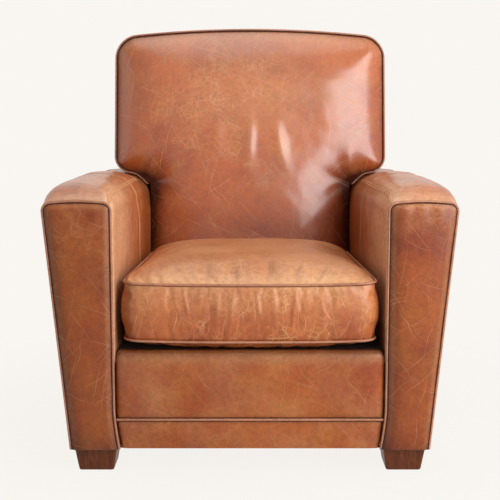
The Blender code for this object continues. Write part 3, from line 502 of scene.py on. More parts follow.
def aged_leather(name, deep, body, golden, worn="#E0A675", dirt_and_shade="#421606", lines=1.0, gloss=0.42,
                 wax=0.2, ways=FACING_SIDES):
    """Waxed aniline leather: deep, body and golden are the dye's three tones, worn is the
    rubbed tan, the dark tone after it is grime beside seams and painted shade in creases
    and on sides turned from the light, lines the amount of hairlines, gloss the roughness,
    wax the amount of polish and ways the directions of the scratches."""
    material, tree, shader, place = new_material(name)
    rub, seam, crack, spared = (add(tree, "ShaderNodeAttribute", {}, out="Fac", attribute_name=kind)
                                for kind in ("rub", "seam", "crack", "spared"))

    # Dye: clouds of 150 mm and 60 mm, mottled at 12 mm and
    # pebbled at 2.4 mm, as the hide took it
    clouds, patches, mottle = (
        add(tree, "ShaderNodeTexNoise",
            {"Vector": place, "Scale": 1 / (size * MM), "Detail": detail, "Roughness": rough})
        for size, detail, rough in ((150, 3.0, 0.5), (60, 4.0, 0.5), (12, 6.0, 0.7)))
    cloudy = add(tree, "ShaderNodeMapRange", {"Value": clouds, 1: 0.38, 2: 0.56})
    patchy = add(tree, "ShaderNodeMapRange", {"Value": patches, 1: 0.46, 2: 0.72, 4: 0.6})
    shade = add(tree, "ShaderNodeMapRange", {"Value": mottle, 1: 0.32, 2: 0.68, 3: 0.80, 4: 1.16})
    tone = add(tree, "ShaderNodeMix", {0: cloudy, 6: deep, 7: body}, **COLOURS)
    tone = add(tree, "ShaderNodeMix", {0: patchy, 6: tone, 7: golden}, **COLOURS)
    pebbles = add(tree, "ShaderNodeTexVoronoi", {"Vector": place, "Scale": 1 / (2.4 * MM)},
                  feature="SMOOTH_F1")
    grain = add(tree, "ShaderNodeMapRange", {"Value": pebbles, 1: 0.1, 2: 0.6, 3: 1.07, 4: 0.88})
    shade = add(tree, "ShaderNodeMath", {0: shade, 1: grain}, operation="MULTIPLY")
    tone = add(tree, "ShaderNodeHueSaturation", {"Value": shade, "Color": tone})

    # Rubbed dye, broken up by the mottle, and the dark tone beside the seams, which is dirt and also painted
    # shade in creases and on sides turned from the light
    broken = add(tree, "ShaderNodeMapRange", {"Value": mottle, 1: 0.36, 2: 0.62, 3: 0.70, 4: 1.15})
    rubbed = add(tree, "ShaderNodeMath", {0: rub, 1: broken}, operation="MULTIPLY", use_clamp=True)
    tone = add(tree, "ShaderNodeMix", {0: rubbed, 6: tone, 7: worn}, **COLOURS)
    tone = add(tree, "ShaderNodeMix", {0: seam, 6: tone, 7: dirt_and_shade}, **COLOURS)

    # Hairlines: long and short scratches everywhere, and cracks where the skin is worn
    drift = add(tree, "ShaderNodeTexNoise", {"Vector": place, "Scale": 1 / (110 * MM), "Detail": 2.0}, out=1)
    bent = add(tree, "ShaderNodeVectorMath", {0: drift, 1: (0.04, 0.04, 0.04), 2: place},
               operation="MULTIPLY_ADD")
    long_marks = highest(tree, *(hairlines(tree, bent, turn, 3.6 * MM, 420 * MM) for turn in ways))
    short_marks = highest(tree, *(hairlines(tree, bent, turn, 2.4 * MM, 130 * MM) for turn in ways[:3]))
    short_marks = add(tree, "ShaderNodeMath", {0: short_marks, 1: 0.55}, operation="MULTIPLY")
    nets = highest(tree, cracks(tree, bent, 38 * MM, 1.5 * MM), cracks(tree, bent, 15 * MM, 0.8 * MM))
    worn_skin = add(tree, "ShaderNodeMapRange", {"Value": patches, 1: 0.42, 2: 0.60})
    worn_skin = add(tree, "ShaderNodeMath", {0: worn_skin, 1: crack}, operation="MULTIPLY")
    nets = add(tree, "ShaderNodeMath", {0: nets, 1: worn_skin}, operation="MULTIPLY")
    marks = highest(tree, long_marks, short_marks, nets)
    exposed = add(tree, "ShaderNodeMath", {0: 1.0, 1: spared}, operation="SUBTRACT")
    marks = add(tree, "ShaderNodeMath", {0: marks, 1: exposed}, operation="MULTIPLY")
    faded = add(tree, "ShaderNodeMath", {0: marks, 1: 0.62 * lines}, operation="MULTIPLY", use_clamp=True)
    tone = add(tree, "ShaderNodeMix", {0: faded, 6: tone, 7: "#EBBB8E"}, **COLOURS)

    # Wax: a polished skin over duller leather, broken in the hairlines
    rough = add(tree, "ShaderNodeMapRange",
                {"Value": patches, 1: 0.3, 2: 0.7, 3: gloss - 0.05, 4: gloss + 0.07})
    rough = add(tree, "ShaderNodeMath", {0: marks, 1: 0.15, 2: rough}, operation="MULTIPLY_ADD")
    polish = add(tree, "ShaderNodeMapRange", {"Value": mottle, 1: 0.3, 2: 0.7, 3: wax, 4: 0.6 * wax})
    clean = add(tree, "ShaderNodeMath", {0: 1.0, 1: seam}, operation="SUBTRACT")
    polish = add(tree, "ShaderNodeMath", {0: polish, 1: clean}, operation="MULTIPLY")

    # Grain: soft lumps of 12 mm, the pebbles and the cut of the hairlines
    bump = add(tree, "ShaderNodeBump", {"Height": mottle, "Distance": 1.6 * MM, "Strength": 0.5})
    bump = add(tree, "ShaderNodeBump",
               {"Height": pebbles, "Distance": 0.35 * MM, "Strength": 0.5, "Normal": bump})
    bump = add(tree, "ShaderNodeBump",
               {"Height": marks, "Distance": 0.4 * MM, "Strength": 0.5, "Normal": bump}, invert=True)
    feed(tree, shader, {"Base Color": tone, "Roughness": rough, "Normal": bump, "Coat Weight": polish,
                        "Coat Roughness": 0.20, "Coat IOR": 1.7, "Specular IOR Level": 0.3})
    return material


leather_panel = aged_leather("waxed_aniline_leather_panels", "#974116", "#AC561C", "#AE6520",
                             lines=0.45, gloss=0.36)
leather_front = aged_leather("waxed_aniline_leather_arm_fronts", "#84350F", "#9A4814", "#A05C1B",
                             worn="#D69A66", lines=0.55, gloss=0.36)
leather_sleeve = aged_leather("waxed_aniline_leather_arms", "#AC5427", "#C26A34", "#C07836", wax=0.5,
                              worn="#E8B38A", lines=0.6, ways=SLEEVE_SIDES)
leather_back = aged_leather("waxed_aniline_leather_back", "#A84A1C", "#C25F25", "#C2712B",
                            wax=1.0, lines=1.15)
leather_seat = aged_leather("waxed_aniline_leather_seat", "#A8522A", "#BE6632", "#C07637",
                            lines=1.0, ways=CUSHION_SIDES)
# The piping is paler and pinker than the covers: worn piping, with a painted highlight.
piping_rub_and_highlight = aged_leather("waxed_aniline_leather_piping", "#B27455", "#C08263", "#B98058", lines=0.2)
# A thin tube beside each piping, the edge of its strip, dark maroon as painted shade of the groove.
groove_shade = aged_leather("maroon_dyed_seam_edge", "#2E0809", "#380C0C", "#2F0B09", worn="#4A1510",
                         lines=0.0, gloss=0.6, wax=0.0)
print("leather:", len(leather_back.node_tree.nodes), "nodes in each tree")

# %% Waxed thread of the stitches

thread, tree, shader, place = new_material("waxed_linen_thread")
soiled = add(tree, "ShaderNodeTexNoise", {"Vector": place, "Scale": 1 / (30 * MM), "Detail": 2.0})
tone = add(tree, "ShaderNodeMix", {0: soiled, 6: "#8A5A35", 7: "#D9B084"}, **COLOURS)
feed(tree, shader, {"Base Color": tone, "Roughness": 0.55})

# %% [markdown]
# ## Piping and stitches by Geometry Nodes
#
# Piping is a cord wrapped in a strip of leather and sewn into a seam, so it is a round
# tube that follows the seam's path. A Geometry Nodes tree turns any path into such a
# tube, and a second tree lays stitches along a path, so each new seam is one call.

# %% Piping tree


def new_tree(name, floats):
    """Geometry tree with a path and a material as inputs, and the named sizes."""
    tree = bpy.data.node_groups.new(name, "GeometryNodeTree")
    tree.interface.new_socket("Path", in_out="INPUT", socket_type="NodeSocketGeometry")
    for label, value in floats.items():
        tree.interface.new_socket(label, in_out="INPUT", socket_type="NodeSocketFloat").default_value = value
    tree.interface.new_socket("Finish", in_out="INPUT", socket_type="NodeSocketMaterial")
    tree.interface.new_socket("Made", in_out="OUTPUT", socket_type="NodeSocketGeometry")
    return tree, tree.nodes.new("NodeGroupInput").outputs


def close_tree(tree, geometry, finish):
    """End a tree in real geometry with its material."""
    real = add(tree, "GeometryNodeRealizeInstances", {"Geometry": geometry})
    done = add(tree, "GeometryNodeSetMaterial", {"Geometry": real, "Material": finish})
    tree.links.new(done, tree.nodes.new("NodeGroupOutput").inputs["Made"])


def piping_tree():
    """Tube of a radius along the path, sampled at an even step."""
    tree, given = new_tree("piping", {"Radius": WELT_RADIUS, "Step": 4 * MM})
    path = add(tree, "GeometryNodeMeshToCurve", {"Mesh": given["Path"]})
    path = add(tree, "GeometryNodeResampleCurve", {"Curve": path, "Length": given["Step"]}, mode="LENGTH")
    profile = add(tree, "GeometryNodeCurvePrimitiveCircle", {"Radius": given["Radius"], "Resolution": 12})
    tube = add(tree, "GeometryNodeCurveToMesh", {"Curve": path, "Profile Curve": profile, "Fill Caps": True})
    smooth = add(tree, "GeometryNodeSetShadeSmooth", {"Geometry": tube})
    close_tree(tree, smooth, given["Finish"])
    return tree


# %% Stitch tree


def stitch_tree():
    """Small capsules of thread laid along the path at an even step."""
    tree, given = new_tree("stitches", {"Pitch": 5 * MM, "Stitch": 3.4 * MM, "Thread": 0.45 * MM})
    path = add(tree, "GeometryNodeMeshToCurve", {"Mesh": given["Path"]})
    dots = add(tree, "GeometryNodeResampleCurve", {"Curve": path, "Length": given["Pitch"]}, mode="LENGTH")
    along = add(tree, "GeometryNodeInputTangent", {})
    turn = add(tree, "FunctionNodeAlignRotationToVector", {"Vector": along}, axis="Z")
    size = add(tree, "ShaderNodeCombineXYZ",
               {"X": given["Thread"], "Y": given["Thread"],
                "Z": add(tree, "ShaderNodeMath", {0: given["Stitch"], 1: 0.5}, operation="MULTIPLY")})
    grain = add(tree, "GeometryNodeMeshUVSphere", {"Segments": 6, "Rings": 5, "Radius": 1.0})
    laid = add(tree, "GeometryNodeInstanceOnPoints",
               {"Points": dots, "Instance": grain, "Rotation": turn, "Scale": size})
    smooth = add(tree, "GeometryNodeSetShadeSmooth", {"Geometry": laid})
    close_tree(tree, smooth, given["Finish"])
    return tree


# %% Run the trees along paths

PIPING = piping_tree()
STITCHES = stitch_tree()


def along_path(name, tree, paths, material, closed=False, **sizes):
    """Run a tree on one or more paths and keep the result as a plain mesh."""
    points, edges = [], []
    for path in paths:
        start = len(points)
        points += [tuple(p) for p in path]
        edges += [(start + k, start + k + 1) for k in range(len(path) - 1)]
        if closed:
            edges.append((len(points) - 1, start))
    data = bpy.data.meshes.new(name)
    data.from_pydata(points, edges, [])
    piece = linked(name, data)
    run = piece.modifiers.new(tree.name, "NODES")
    run.node_group = tree
    sockets = {s.name: s.identifier for s in tree.interface.items_tree if s.in_out == "INPUT"}
    for label, value in sizes.items():
        run[sockets[label]] = value
    run[sockets["Finish"]] = material
    return baked(piece)


def sew_piping(row, tail, path, edges, shade_radius, closed=False, fit=None):
    """Piping of a seam, and beside it a thin dark maroon tube: the edge of the strip that it is wrapped in,
    coloured as painted shade of the groove.
    """
    parts = (("piping_leather", [path], piping_rub_and_highlight, WELT_RADIUS - CLEARANCE, [f"{row}_welt{tail}"]),
             ("piping_edge", edges, groove_shade, shade_radius, []))
    for kind, paths, leather, radius, welts in parts:
        piece = along_path(f"{row}_{kind}{tail}", PIPING, paths, leather, closed, Radius=radius)
        if fit:
            fit(piece)
        settle(piece, welts)


print("trees:", PIPING.name, STITCHES.name)

# %% [markdown]
# ## Arms
#
# Each arm is a wooden rail and two posts inside a thick padded cover, which goes over
# them like an upside-down trough. The section changes along the arm: it is tucked in and
# lower at the front, where it meets the facing. So the cover is a loft of sections, and
# folds are then pushed into it. The hollow below is left open, because the frame is there.

# %% Section of an arm


def arm_section(drop, tuck, radius_in, radius_out, inner, inset, low_in, low_out, count):
    """Evenly spaced points of one section, from the foot of the inner side to the outer foot."""
    top = ARM_TOP - drop - inset
    r_in, r_out = radius_in - inset, radius_out - inset
    x_in = inner + inset
    x_out = arm_outer_x(top - r_out) - tuck - inset
    raw = [(x_in, low_in), (x_in, top - r_in)]
    raw += arc((x_in + r_in, top - r_in), r_in, 180, 90, 16)
    raw += [(x_in + r_in + s * (x_out - r_out - x_in - r_in), top + ARM_CAMBER * math.sin(math.pi * s))
            for s in spread(0.0, 1.0, 12)[1:-1]]
    raw += arc((x_out - r_out, top - r_out), r_out, 90, 0, 16)
    raw += [(arm_outer_x(z) - tuck - inset, z) for z in spread(top - r_out, low_out, 6)[1:]]
    raw = np.array(raw)
    length = np.concatenate(([0.0], np.cumsum(np.hypot(*np.diff(raw, axis=0).T))))
    even = np.linspace(0.0, length[-1], count)
    return list(zip(np.interp(even, length, raw[:, 0]), np.interp(even, length, raw[:, 1])))


def arm_shape(y):
    """Drop, tuck and corner radii of the section at a depth."""
    share = min((y - arm_front_y) / ARM_FRONT_ROUND, 1.0)
    ease = 1 - math.sin(0.5 * math.pi * share)
    return (ARM_FRONT_DROP * ease, ARM_FRONT_TUCK * ease,
            FRONT_CORNER + (ARM_INNER_RADIUS - FRONT_CORNER) * (1 - ease),
            FRONT_CORNER + (ARM_OUTER_RADIUS - FRONT_CORNER) * (1 - ease))


# Points round the outside and the hollow of a section, and the number of sections over
# the round front, along the arm and beside the back
SKIN_POINTS = 150
CORE_POINTS = 14
FRONT_SECTIONS = 24
ARM_SECTIONS = 96
REAR_SECTIONS = 14
arm_inner_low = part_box("front_seat_rail")[1].z + CLEARANCE
seam_y = arm_front_y + SEAM_SETBACK


def arm_cover(side, sign):
    """Padded cover of one arm."""
    stations = [(arm_front_y + ARM_FRONT_ROUND * share ** 1.6, 0.0)
                for share in spread(0.0, 1.0, FRONT_SECTIONS)]
    stations += [(y, 0.0) for y in spread(stations[-1][0], pad_front_y, ARM_SECTIONS)[1:]]
    stations += [(pad_front_y, share) for share in spread(0.0, 1.0, REAR_SECTIONS)[1:]]
    rings = []
    for y, behind in stations:
        shape = arm_shape(y)
        skin = arm_section(*shape, seat_half(y), 0.0, arm_inner_low, body_bottom, SKIN_POINTS)
        core = arm_section(ARM_FRONT_DROP, ARM_FRONT_TUCK, ARM_PADDING + HOLLOW_EDGE,
                           ARM_PADDING + HOLLOW_EDGE, seat_half(y), ARM_PADDING,
                           arm_inner_low, body_bottom, CORE_POINTS)
        ring = [Vector((sign * x, y + behind * (rear_y(z) - y), z)) for x, z in skin + core[::-1]]
        rings.append(ring)
    return loft("arm_cover_leather_" + side, rings, leather_sleeve)


# %% Folds and wear of the arms

# Angles in degrees of the top seam round the inner corner, at the front and at the back,
# and how far its two ridges and its stitches lie from its middle
SEAM_ANGLES = {"left": (50, 66), "right": (48, 58)}
SEAM_TURN = 3
STITCH_TURN = 8
# The same distances of the cross seam, and the radius of a ridge
SEAM_HALF = 3 * MM
STITCH_HALF = 7 * MM
SEAM_TUBE = 1.7 * MM


def arm_fold(p, n):
    """Ripples, dents and the dip of the cross seam, and the padding's shape: a crown along
    the arm's top and a softer inner top corner, which both end where the back begins."""
    x, y, z = p
    front = bell(y, arm_front_y + 0.07, 0.12)
    on_top = max(n[2], 0.0)
    lift = 0.0009 * on_top * front * ripple((x * 0.5, y, z * 0.5), 0.013, 2.0)
    lift += 0.0012 * ripple(p, 0.07, 5.0) + 0.0006 * ripple(p, 0.022, 8.0)
    lift -= 0.0022 * bell(y, seam_y, 0.006) * (1 if z > 0.25 else 0)
    inner = 1.0 if n[0] * x < -0.2 * abs(x) else 0.0
    lift += 0.0010 * inner * bell(z, 0.53, 0.04) * ripple((x, y, z * 0.2), 0.016, 3.0)
    behind = y - arm_front_y
    rise = 1 - math.exp(-behind / ARM_CROWN_REACH)
    fall = clamp((pad_front_y + 0.05 - y) / 0.13)
    crown = ARM_CROWN * rise * fall * fall * (3 - 2 * fall) * on_top ** 0.8
    outward = abs(x) - seat_half(y)
    round_off = bell(ARM_TOP - z, outward, 0.055) * clamp((0.11 - outward) / 0.04)
    start = clamp((behind - 0.05) / 0.25)
    end = clamp((pad_front_y + 0.15 - y) / 0.13)
    loose = clamp((pad_front_y - 0.02 - y) / 0.05)
    if z < body_bottom + 0.01 or behind < 0.003:
        return 0.0
    return loose * (lift - 0.8 * MM) + crown - ARM_CORNER_SOFT * round_off * start * end


def arm_rub_and_light(p, n):
    """Rubbed along the top front edge, on the top and along the inner top corner, and lighter over the inner
    side towards the front, partly rubbed and partly painted light.
    """
    x, y, z = p
    edge = 0.45 * bell(y, arm_front_y, 0.022)
    top = 0.16 * max(n[2], 0.0) * (0.7 + 0.3 * ripple(p, 0.09, 1.0))
    inward = clamp(-1.6 * n[0] * x / abs(x))
    return edge + top + 0.8 * inward * bell(y, arm_front_y + 0.10, 0.18) * (1.0 if z > 0.3 else 0.5)


def arm_dirt_and_shade(p, n):
    """Grime at the cross seam, darker near the floor, and painted shade where the back meets the arm."""
    y, z = p[1:]
    return (0.35 * bell(y, seam_y, 0.006) + 0.5 * bell(y, pad_front_y + 0.05, 0.06) * (1 if z > 0.5 else 0)
            + 0.35 * bell(z, body_bottom, 0.02))


# %% Make the arms and their seams


def seam_point(place, facing, proud):
    """Point over the folded cover, from a place on the plain one, its normal and a height."""
    return place + (arm_fold(tuple(place), tuple(facing)) + proud) * facing


def corner_seam(side, sign, offset, proud):
    """Line along the inner top corner of an arm, from its front to the back."""
    path = []
    start, end = SEAM_ANGLES[side]
    for y in spread(arm_front_y + 3 * MM, pad_front_y + 18 * MM, 70):
        share = (y - arm_front_y) / (pad_front_y - arm_front_y)
        angle = math.radians(start + (end - start) * share + offset)
        drop, _, radius, _ = arm_shape(y)
        facing = Vector((-sign * math.cos(angle), 0.0, math.sin(angle)))
        middle = Vector((sign * (seat_half(y) + radius), y, ARM_TOP - drop - radius))
        path.append(seam_point(middle + radius * facing, facing, proud))
    return path


def cross_seam(sign, y, proud):
    """Line over an arm at a depth, from the foot of its inner side to the outer foot."""
    section = arm_section(*arm_shape(y), seat_half(y), 0.0, arm_inner_low, body_bottom, 160)
    path = []
    for (x0, z0), (x, z), (x1, z1) in zip(section, section[1:], section[2:]):
        facing = Vector((sign * (z0 - z1), 0.0, x1 - x0)).normalized()
        path.append(seam_point(Vector((sign * x, y, z)), facing, proud))
    return path


for side, sign in SIDES.items():
    cover = arm_cover(side, sign)
    push(cover, arm_fold)
    paint(cover, rub=arm_rub_and_light, seam=arm_dirt_and_shade, crack=lambda p, n: 0.35 * bell(p[1], arm_front_y, 0.04))
    settle(cover, ["arm_cover_" + side])
    seams = {"arm_top_seam_": [corner_seam(side, sign, turn, -0.5 * MM) for turn in (-SEAM_TURN, SEAM_TURN)],
             "arm_cross_seam_": [cross_seam(sign, seam_y + d, -0.5 * MM) for d in (-SEAM_HALF, SEAM_HALF)]}
    for name, rows in seams.items():
        seam = along_path(name + side, PIPING, rows, piping_rub_and_highlight, Radius=SEAM_TUBE)
        paint(seam, rub=lambda p, n: 1.0)
        settle(seam)
    rows = [corner_seam(side, sign, turn, 0.3 * MM) for turn in (-STITCH_TURN, STITCH_TURN)]
    rows += [cross_seam(sign, seam_y + d, 0.3 * MM) for d in (-STITCH_HALF, STITCH_HALF)]
    settle(along_path("arm_seam_stitches_" + side, STITCHES, rows, thread))

# %% [markdown]
# ## Arm fronts
#
# A facing is a board with a thin pad and a leather cover, nailed to the front of the arm
# with the piping caught behind its edge. Its face is nearly flat with a soft round edge,
# so it is a grid whose depth depends on how far each point is from the edge. Beside the
# piping runs a dark tube, the edge of the strip that it is wrapped in, coloured as
# painted shade of the groove.

# %% Outline and face of an arm front


def front_top_z(x, inset):
    """Top edge of an arm front at an inset, with its round corners."""
    top = ARM_TOP - ARM_FRONT_DROP - inset
    radius = FRONT_CORNER - inset
    x_in = SEAT_HALF_FRONT + inset
    x_out = arm_outer_x(top - radius) - ARM_FRONT_TUCK - inset
    share = clamp((x - x_in) / (x_out - x_in))
    drop = arc_rise(x_in + radius - x, radius) + arc_rise(x - x_out + radius, radius)
    return top + ARM_CAMBER * math.sin(math.pi * share) - drop


FRONT_INSET = 2 * WELT_RADIUS + CLEARANCE
front_high = ARM_TOP - ARM_FRONT_DROP - FRONT_CORNER


def front_edges(z):
    """Inner and outer edge of an arm front at a height."""
    return front_inner_x(z) + FRONT_INSET, arm_outer_x(min(z, front_high)) - ARM_FRONT_TUCK - FRONT_INSET


def front_depth(x, z):
    """How far the face stands out at a place, from a thin edge to the full crown."""
    x_in, x_out = front_edges(z)
    edge = nearest(x - x_in, x_out - x, front_top_z(x, FRONT_INSET) - z, z - body_bottom + 8 * MM)
    full = 1 - math.exp(-edge / (7 * MM))
    swell = 1 - math.exp(-edge / (20 * MM))
    gather = bell(z, front_high + 10 * MM, 0.022) * math.cos(x / (5.5 * MM)) * full
    return 3 * MM * full + FACING_CROWN * swell + 0.7 * MM * gather


def arm_front(side, sign):
    """Padded facing of one arm."""
    columns, rows = 44, 130

    def spot(i, j):
        across = 0.5 - 0.5 * math.cos(math.pi * j / columns)
        up = i / rows
        z = body_bottom + (front_high - body_bottom) * min(up / 0.94, 1.0)
        x_in, x_out = front_edges(z)
        x = x_in + (x_out - x_in) * across
        if up > 0.94:
            z += (front_top_z(x, FRONT_INSET) - front_high) * (up - 0.94) / 0.06
        return x, z

    def face(x, z):
        return Vector((sign * x, face_y + 3 * MM - front_depth(x, z), z))

    def back(x, z):
        return Vector((sign * x, arm_front_y - CLEARANCE, z))

    return pad("arm_front_leather_" + side, grid(rows, columns), spot, face, back, leather_front, layers=3)


# %% Make the arm fronts and their piping


def front_outline(inset):
    """Path round an arm front from foot to foot, at an inset from the arm's edge."""
    radius = FRONT_CORNER - inset
    x_in = SEAT_HALF_FRONT + inset
    x_out = arm_outer_x(front_high) - ARM_FRONT_TUCK - inset
    flat = x_out - x_in - 2 * radius
    path = [(front_inner_x(z) + inset, z) for z in spread(body_bottom, front_high, 40)]
    path += arc((x_in + radius, front_high), radius, 180, 90, 10)[1:]
    path += [(x_in + radius + s * flat, front_high + radius + ARM_CAMBER * math.sin(math.pi * s))
             for s in spread(0.0, 1.0, 14)[1:-1]]
    path += arc((x_out - radius, front_high), radius, 90, 0, 10)
    path += [(arm_outer_x(z) - ARM_FRONT_TUCK - inset, z) for z in spread(front_high, body_bottom, 40)[1:]]
    return path


def front_rub(p, n):
    """Rubbed on the rounded edge and at the top."""
    x, z = p[0], p[2]
    x_in, x_out = front_edges(z)
    edge = nearest(abs(x) - x_in, x_out - abs(x), front_top_z(abs(x), FRONT_INSET) - z)
    return 0.25 * bell(edge, 0.006, 0.005) + 0.15 * bell(z, front_high, 0.05) * (0.5 + ripple(p, 0.03, 4.0))


def front_edge_shade(p, n):
    """Darker towards the edges as painted shade, most on the left of each arm front, where the crown turns
    from the light, and darker near the floor.
    """
    x, z = p[0], p[2]
    x_in, x_out = front_edges(z)
    left = abs(x) - x_in if x > 0 else x_out - abs(x)
    right = (x_out - x_in) - left
    return 0.55 * bell(left, 0.0, 0.022) + 0.25 * bell(right, 0.0, 0.012) + 0.3 * bell(z, body_bottom, 0.03)


for side, sign in SIDES.items():
    front = arm_front(side, sign)
    push(front, lambda p, n: 0.0008 * ripple(p, 0.05, 6.0) if n[1] < -0.5 else 0.0)
    paint(front, rub=front_rub, seam=front_edge_shade,
          crack=lambda p, n: 0.5 * bell(p[2], front_high, 0.09))
    settle(front, ["arm_facing_" + side])
    depth = arm_front_y - CLEARANCE - WELT_RADIUS
    # The second path is a dark tube of painted groove shade beside the piping.
    path, edge = ([Vector((sign * x, depth - proud, z)) for x, z in front_outline(inset)]
                  for inset, proud in ((WELT_RADIUS, 6 * MM), (2 * WELT_RADIUS, 7.2 * MM)))
    sew_piping("arm", "_" + side, path, [edge], 2.0 * MM)

# %% [markdown]
# ## Back
#
# The back is one tight pad in the shape of a T. Its stem goes down between the arms and
# its wings lie on them. Leather pulled over padding has a full crown that falls away to
# the seams, and where the stem meets the wings the surplus gathers in short folds. So the
# face is a grid whose depth comes from the distance to the seams, and the folds are added.

# %% Face of the back

# Folds in the middle of the back: place across, height, half length, size and slant
BACK_RIDGES = ((-0.235, 0.690, 0.045, 0.45, 0.02), (-0.005, 0.668, 0.052, 0.66, 0.06),
               (0.22, 0.662, 0.044, 0.72, -0.16))


def back_ridge(x, z, width):
    """Height of the upright folds, from 0 to 1."""
    return sum(size * bell(z, middle, half) * bell(x, share * BACK_HALF + slant * (z - middle), width)
               for share, middle, half, size, slant in BACK_RIDGES)


def back_edge(x, z):
    """Smooth distance of a point on the back from the seams."""
    side = abs(x)
    if z < shoulder:
        low = SEAT_HALF_REAR - side
    elif side <= SEAT_HALF_REAR:
        low = math.hypot(SEAT_HALF_REAR - side, z - shoulder)
    else:
        low = z - wing_low_z(x)
    return nearest(low, BACK_HALF - side, back_top_z(x) - z)


def back_folds(x, z):
    """Height of the folds: upright ridges, gathers at the inner corners and soft dents."""
    height = 6.5 * MM * back_ridge(x, z, 0.015)
    across, up = abs(x) - SEAT_HALF_REAR, z - shoulder
    reach = math.exp(-((across * across + up * up) / 0.062 ** 2))
    height += 2.4 * MM * math.cos(8 * math.atan2(up, -across) + 0.6) * reach
    height += 1.6 * MM * ripple((x, 0.0, z), 0.085, 4.0) + 0.7 * MM * ripple((x, 0.0, z), 0.03, 9.0)
    return height


def back_face_y(x, z):
    """Crowned face of the back with its folds."""
    free = clamp((z - 0.43) / 0.12)
    fullness = 1 - math.exp(-back_edge(x, z) / (BACK_CROWN_REACH + 28 * MM * free))
    return rim_y(z) - (BACK_CROWN + BACK_LOOSE * free + back_folds(x, z) - 1 * MM) * fullness


# %% Make the back


def corner_xs(step):
    """Places across a round top corner of the back, an angle step in degrees apart."""
    return [BACK_HALF - BACK_CORNER + BACK_CORNER * math.sin(math.radians(a)) for a in range(0, 91, step)]


def back_pad():
    """T-shaped pad on a grid, with a swelling strip round it and a pocket for the frame."""
    stem = spread(0.0, SEAT_HALF_REAR - CLEARANCE, 56)
    corner = corner_xs(5)
    half = stem + spread(stem[-1], corner[0], 8)[1:-1] + corner
    xs = [-x for x in half[:0:-1]] + half
    middle, stem_edge = len(half) - 1, len(stem) - 1
    stem_rows, wing_rows = 56, 84

    def spot(i, j):
        x = xs[j]
        outside = abs(j - middle) > stem_edge
        if i < stem_rows or (i == stem_rows and not outside):
            return x, pad_bottom + (shoulder - pad_bottom) * i / stem_rows
        low = wing_low_z(x) if outside else shoulder
        share = (i - stem_rows) / wing_rows
        share = 0.5 * share + 0.5 * (0.5 - 0.5 * math.cos(math.pi * share))
        return x, low + (back_top_z(x) - low) * share

    def face(x, z):
        return Vector((x, back_face_y(x, z), z))

    def back(x, z):
        return Vector((x, rear_y(z), z))

    def bulge(key, share):
        return BACK_SWELL * math.sin(math.pi * share) ** 2 if key[0] > stem_rows else 0.0

    cells = [(i, j) for i in range(stem_rows + wing_rows) for j in range(2 * middle)
             if i >= stem_rows or middle - stem_edge <= j < middle + stem_edge]
    return pad("back_leather", cells, spot, face, back, leather_back, layers=14, bulge=bulge)


def hollow_out(piece):
    """Cut the pocket that the back's posts and rails stand in."""
    stem = SEAT_HALF_REAR - BACK_WALL
    wing = BACK_HALF - BACK_WALL
    low, mid = pad_bottom - BACK_WALL, wing_low_z(BACK_HALF) + BACK_WALL
    high = back_top_z(BACK_HALF) - BACK_WALL / 2
    outline = ((-stem, low), (stem, low), (stem, mid), (wing, mid),
               (wing, high), (-wing, high), (-wing, mid), (-stem, mid))
    depth = BACK_POST_DEPTH + 2 * MM + 3 * CLEARANCE
    rings = [[Vector((x, rear_y(z) - d, z)) for x, z in outline] for d in (depth, -10 * MM)]
    tool = loft("back_pocket_tool", rings, leather_back)
    cut = piece.modifiers.new("pocket", "BOOLEAN")
    cut.operation = "DIFFERENCE"
    cut.object = tool
    baked(piece)
    bpy.data.objects.remove(tool)


def drape_wings(piece):
    """Let the inner corners of the wings sink onto the rounded inner corners of the arms."""
    places = places_of(piece)
    for point in places:
        reach = math.hypot(abs(point[0]) - SEAT_HALF_REAR - 0.014, point[2] - shoulder - 0.010)
        sink = 6 * MM * bell(reach, 0.0, 0.030)
        point += np.array([math.copysign(sink, point[0]), 0.0, -sink])
    move_to(piece, places)


def back_rub(p, n):
    """Rubbed in the middle, along the top edge and on the ridges."""
    x, z = p[0], p[2]
    middle = 0.30 * bell(x, 0.0, 0.22) * bell(z, 0.80, 0.14)
    top = 0.28 * bell(back_top_z(x) - z, 0.008, 0.022)
    return middle + top + 0.3 * back_ridge(x, z, 0.010)


def back_shade_and_grime(p, n):
    """Painted shade beside the stem's sides, at the inner corners, low down and along the left edge, which
    turns from the light, and grime beside the seams.
    """
    x, z = p[0], p[2]
    below = clamp((shoulder + 0.03 - z) / 0.07)
    side = 0.75 * bell(SEAT_HALF_REAR - abs(x), 0.0, 0.035) * below
    corner = 0.8 * bell(math.hypot(abs(x) - SEAT_HALF_REAR, z - shoulder), 0.0, 0.045)
    left = 0.32 * bell(x, -BACK_HALF, 0.07)
    return side + corner + left + 0.25 * bell(z, 0.45, 0.05) + 0.35 * bell(back_edge(x, z), 0.0, 0.010)


def back_cracks(p, n):
    """Cracks where heads and shoulders press, most on the upper left."""
    x, z = p[0], p[2]
    return 0.9 * bell(x, -0.09, 0.15) * bell(z, 0.80, 0.12) + 0.5 * bell(z, 0.62, 0.06) * bell(x, 0.0, 0.2)


back = back_pad()
hollow_out(back)
drape_wings(back)
paint(back, spared=lambda p, n: 1.6 * abs(n[0]) - 0.6, rub=back_rub, seam=back_shade_and_grime, crack=back_cracks)
settle(back, ["back_pad"])

# %% Piping of the back


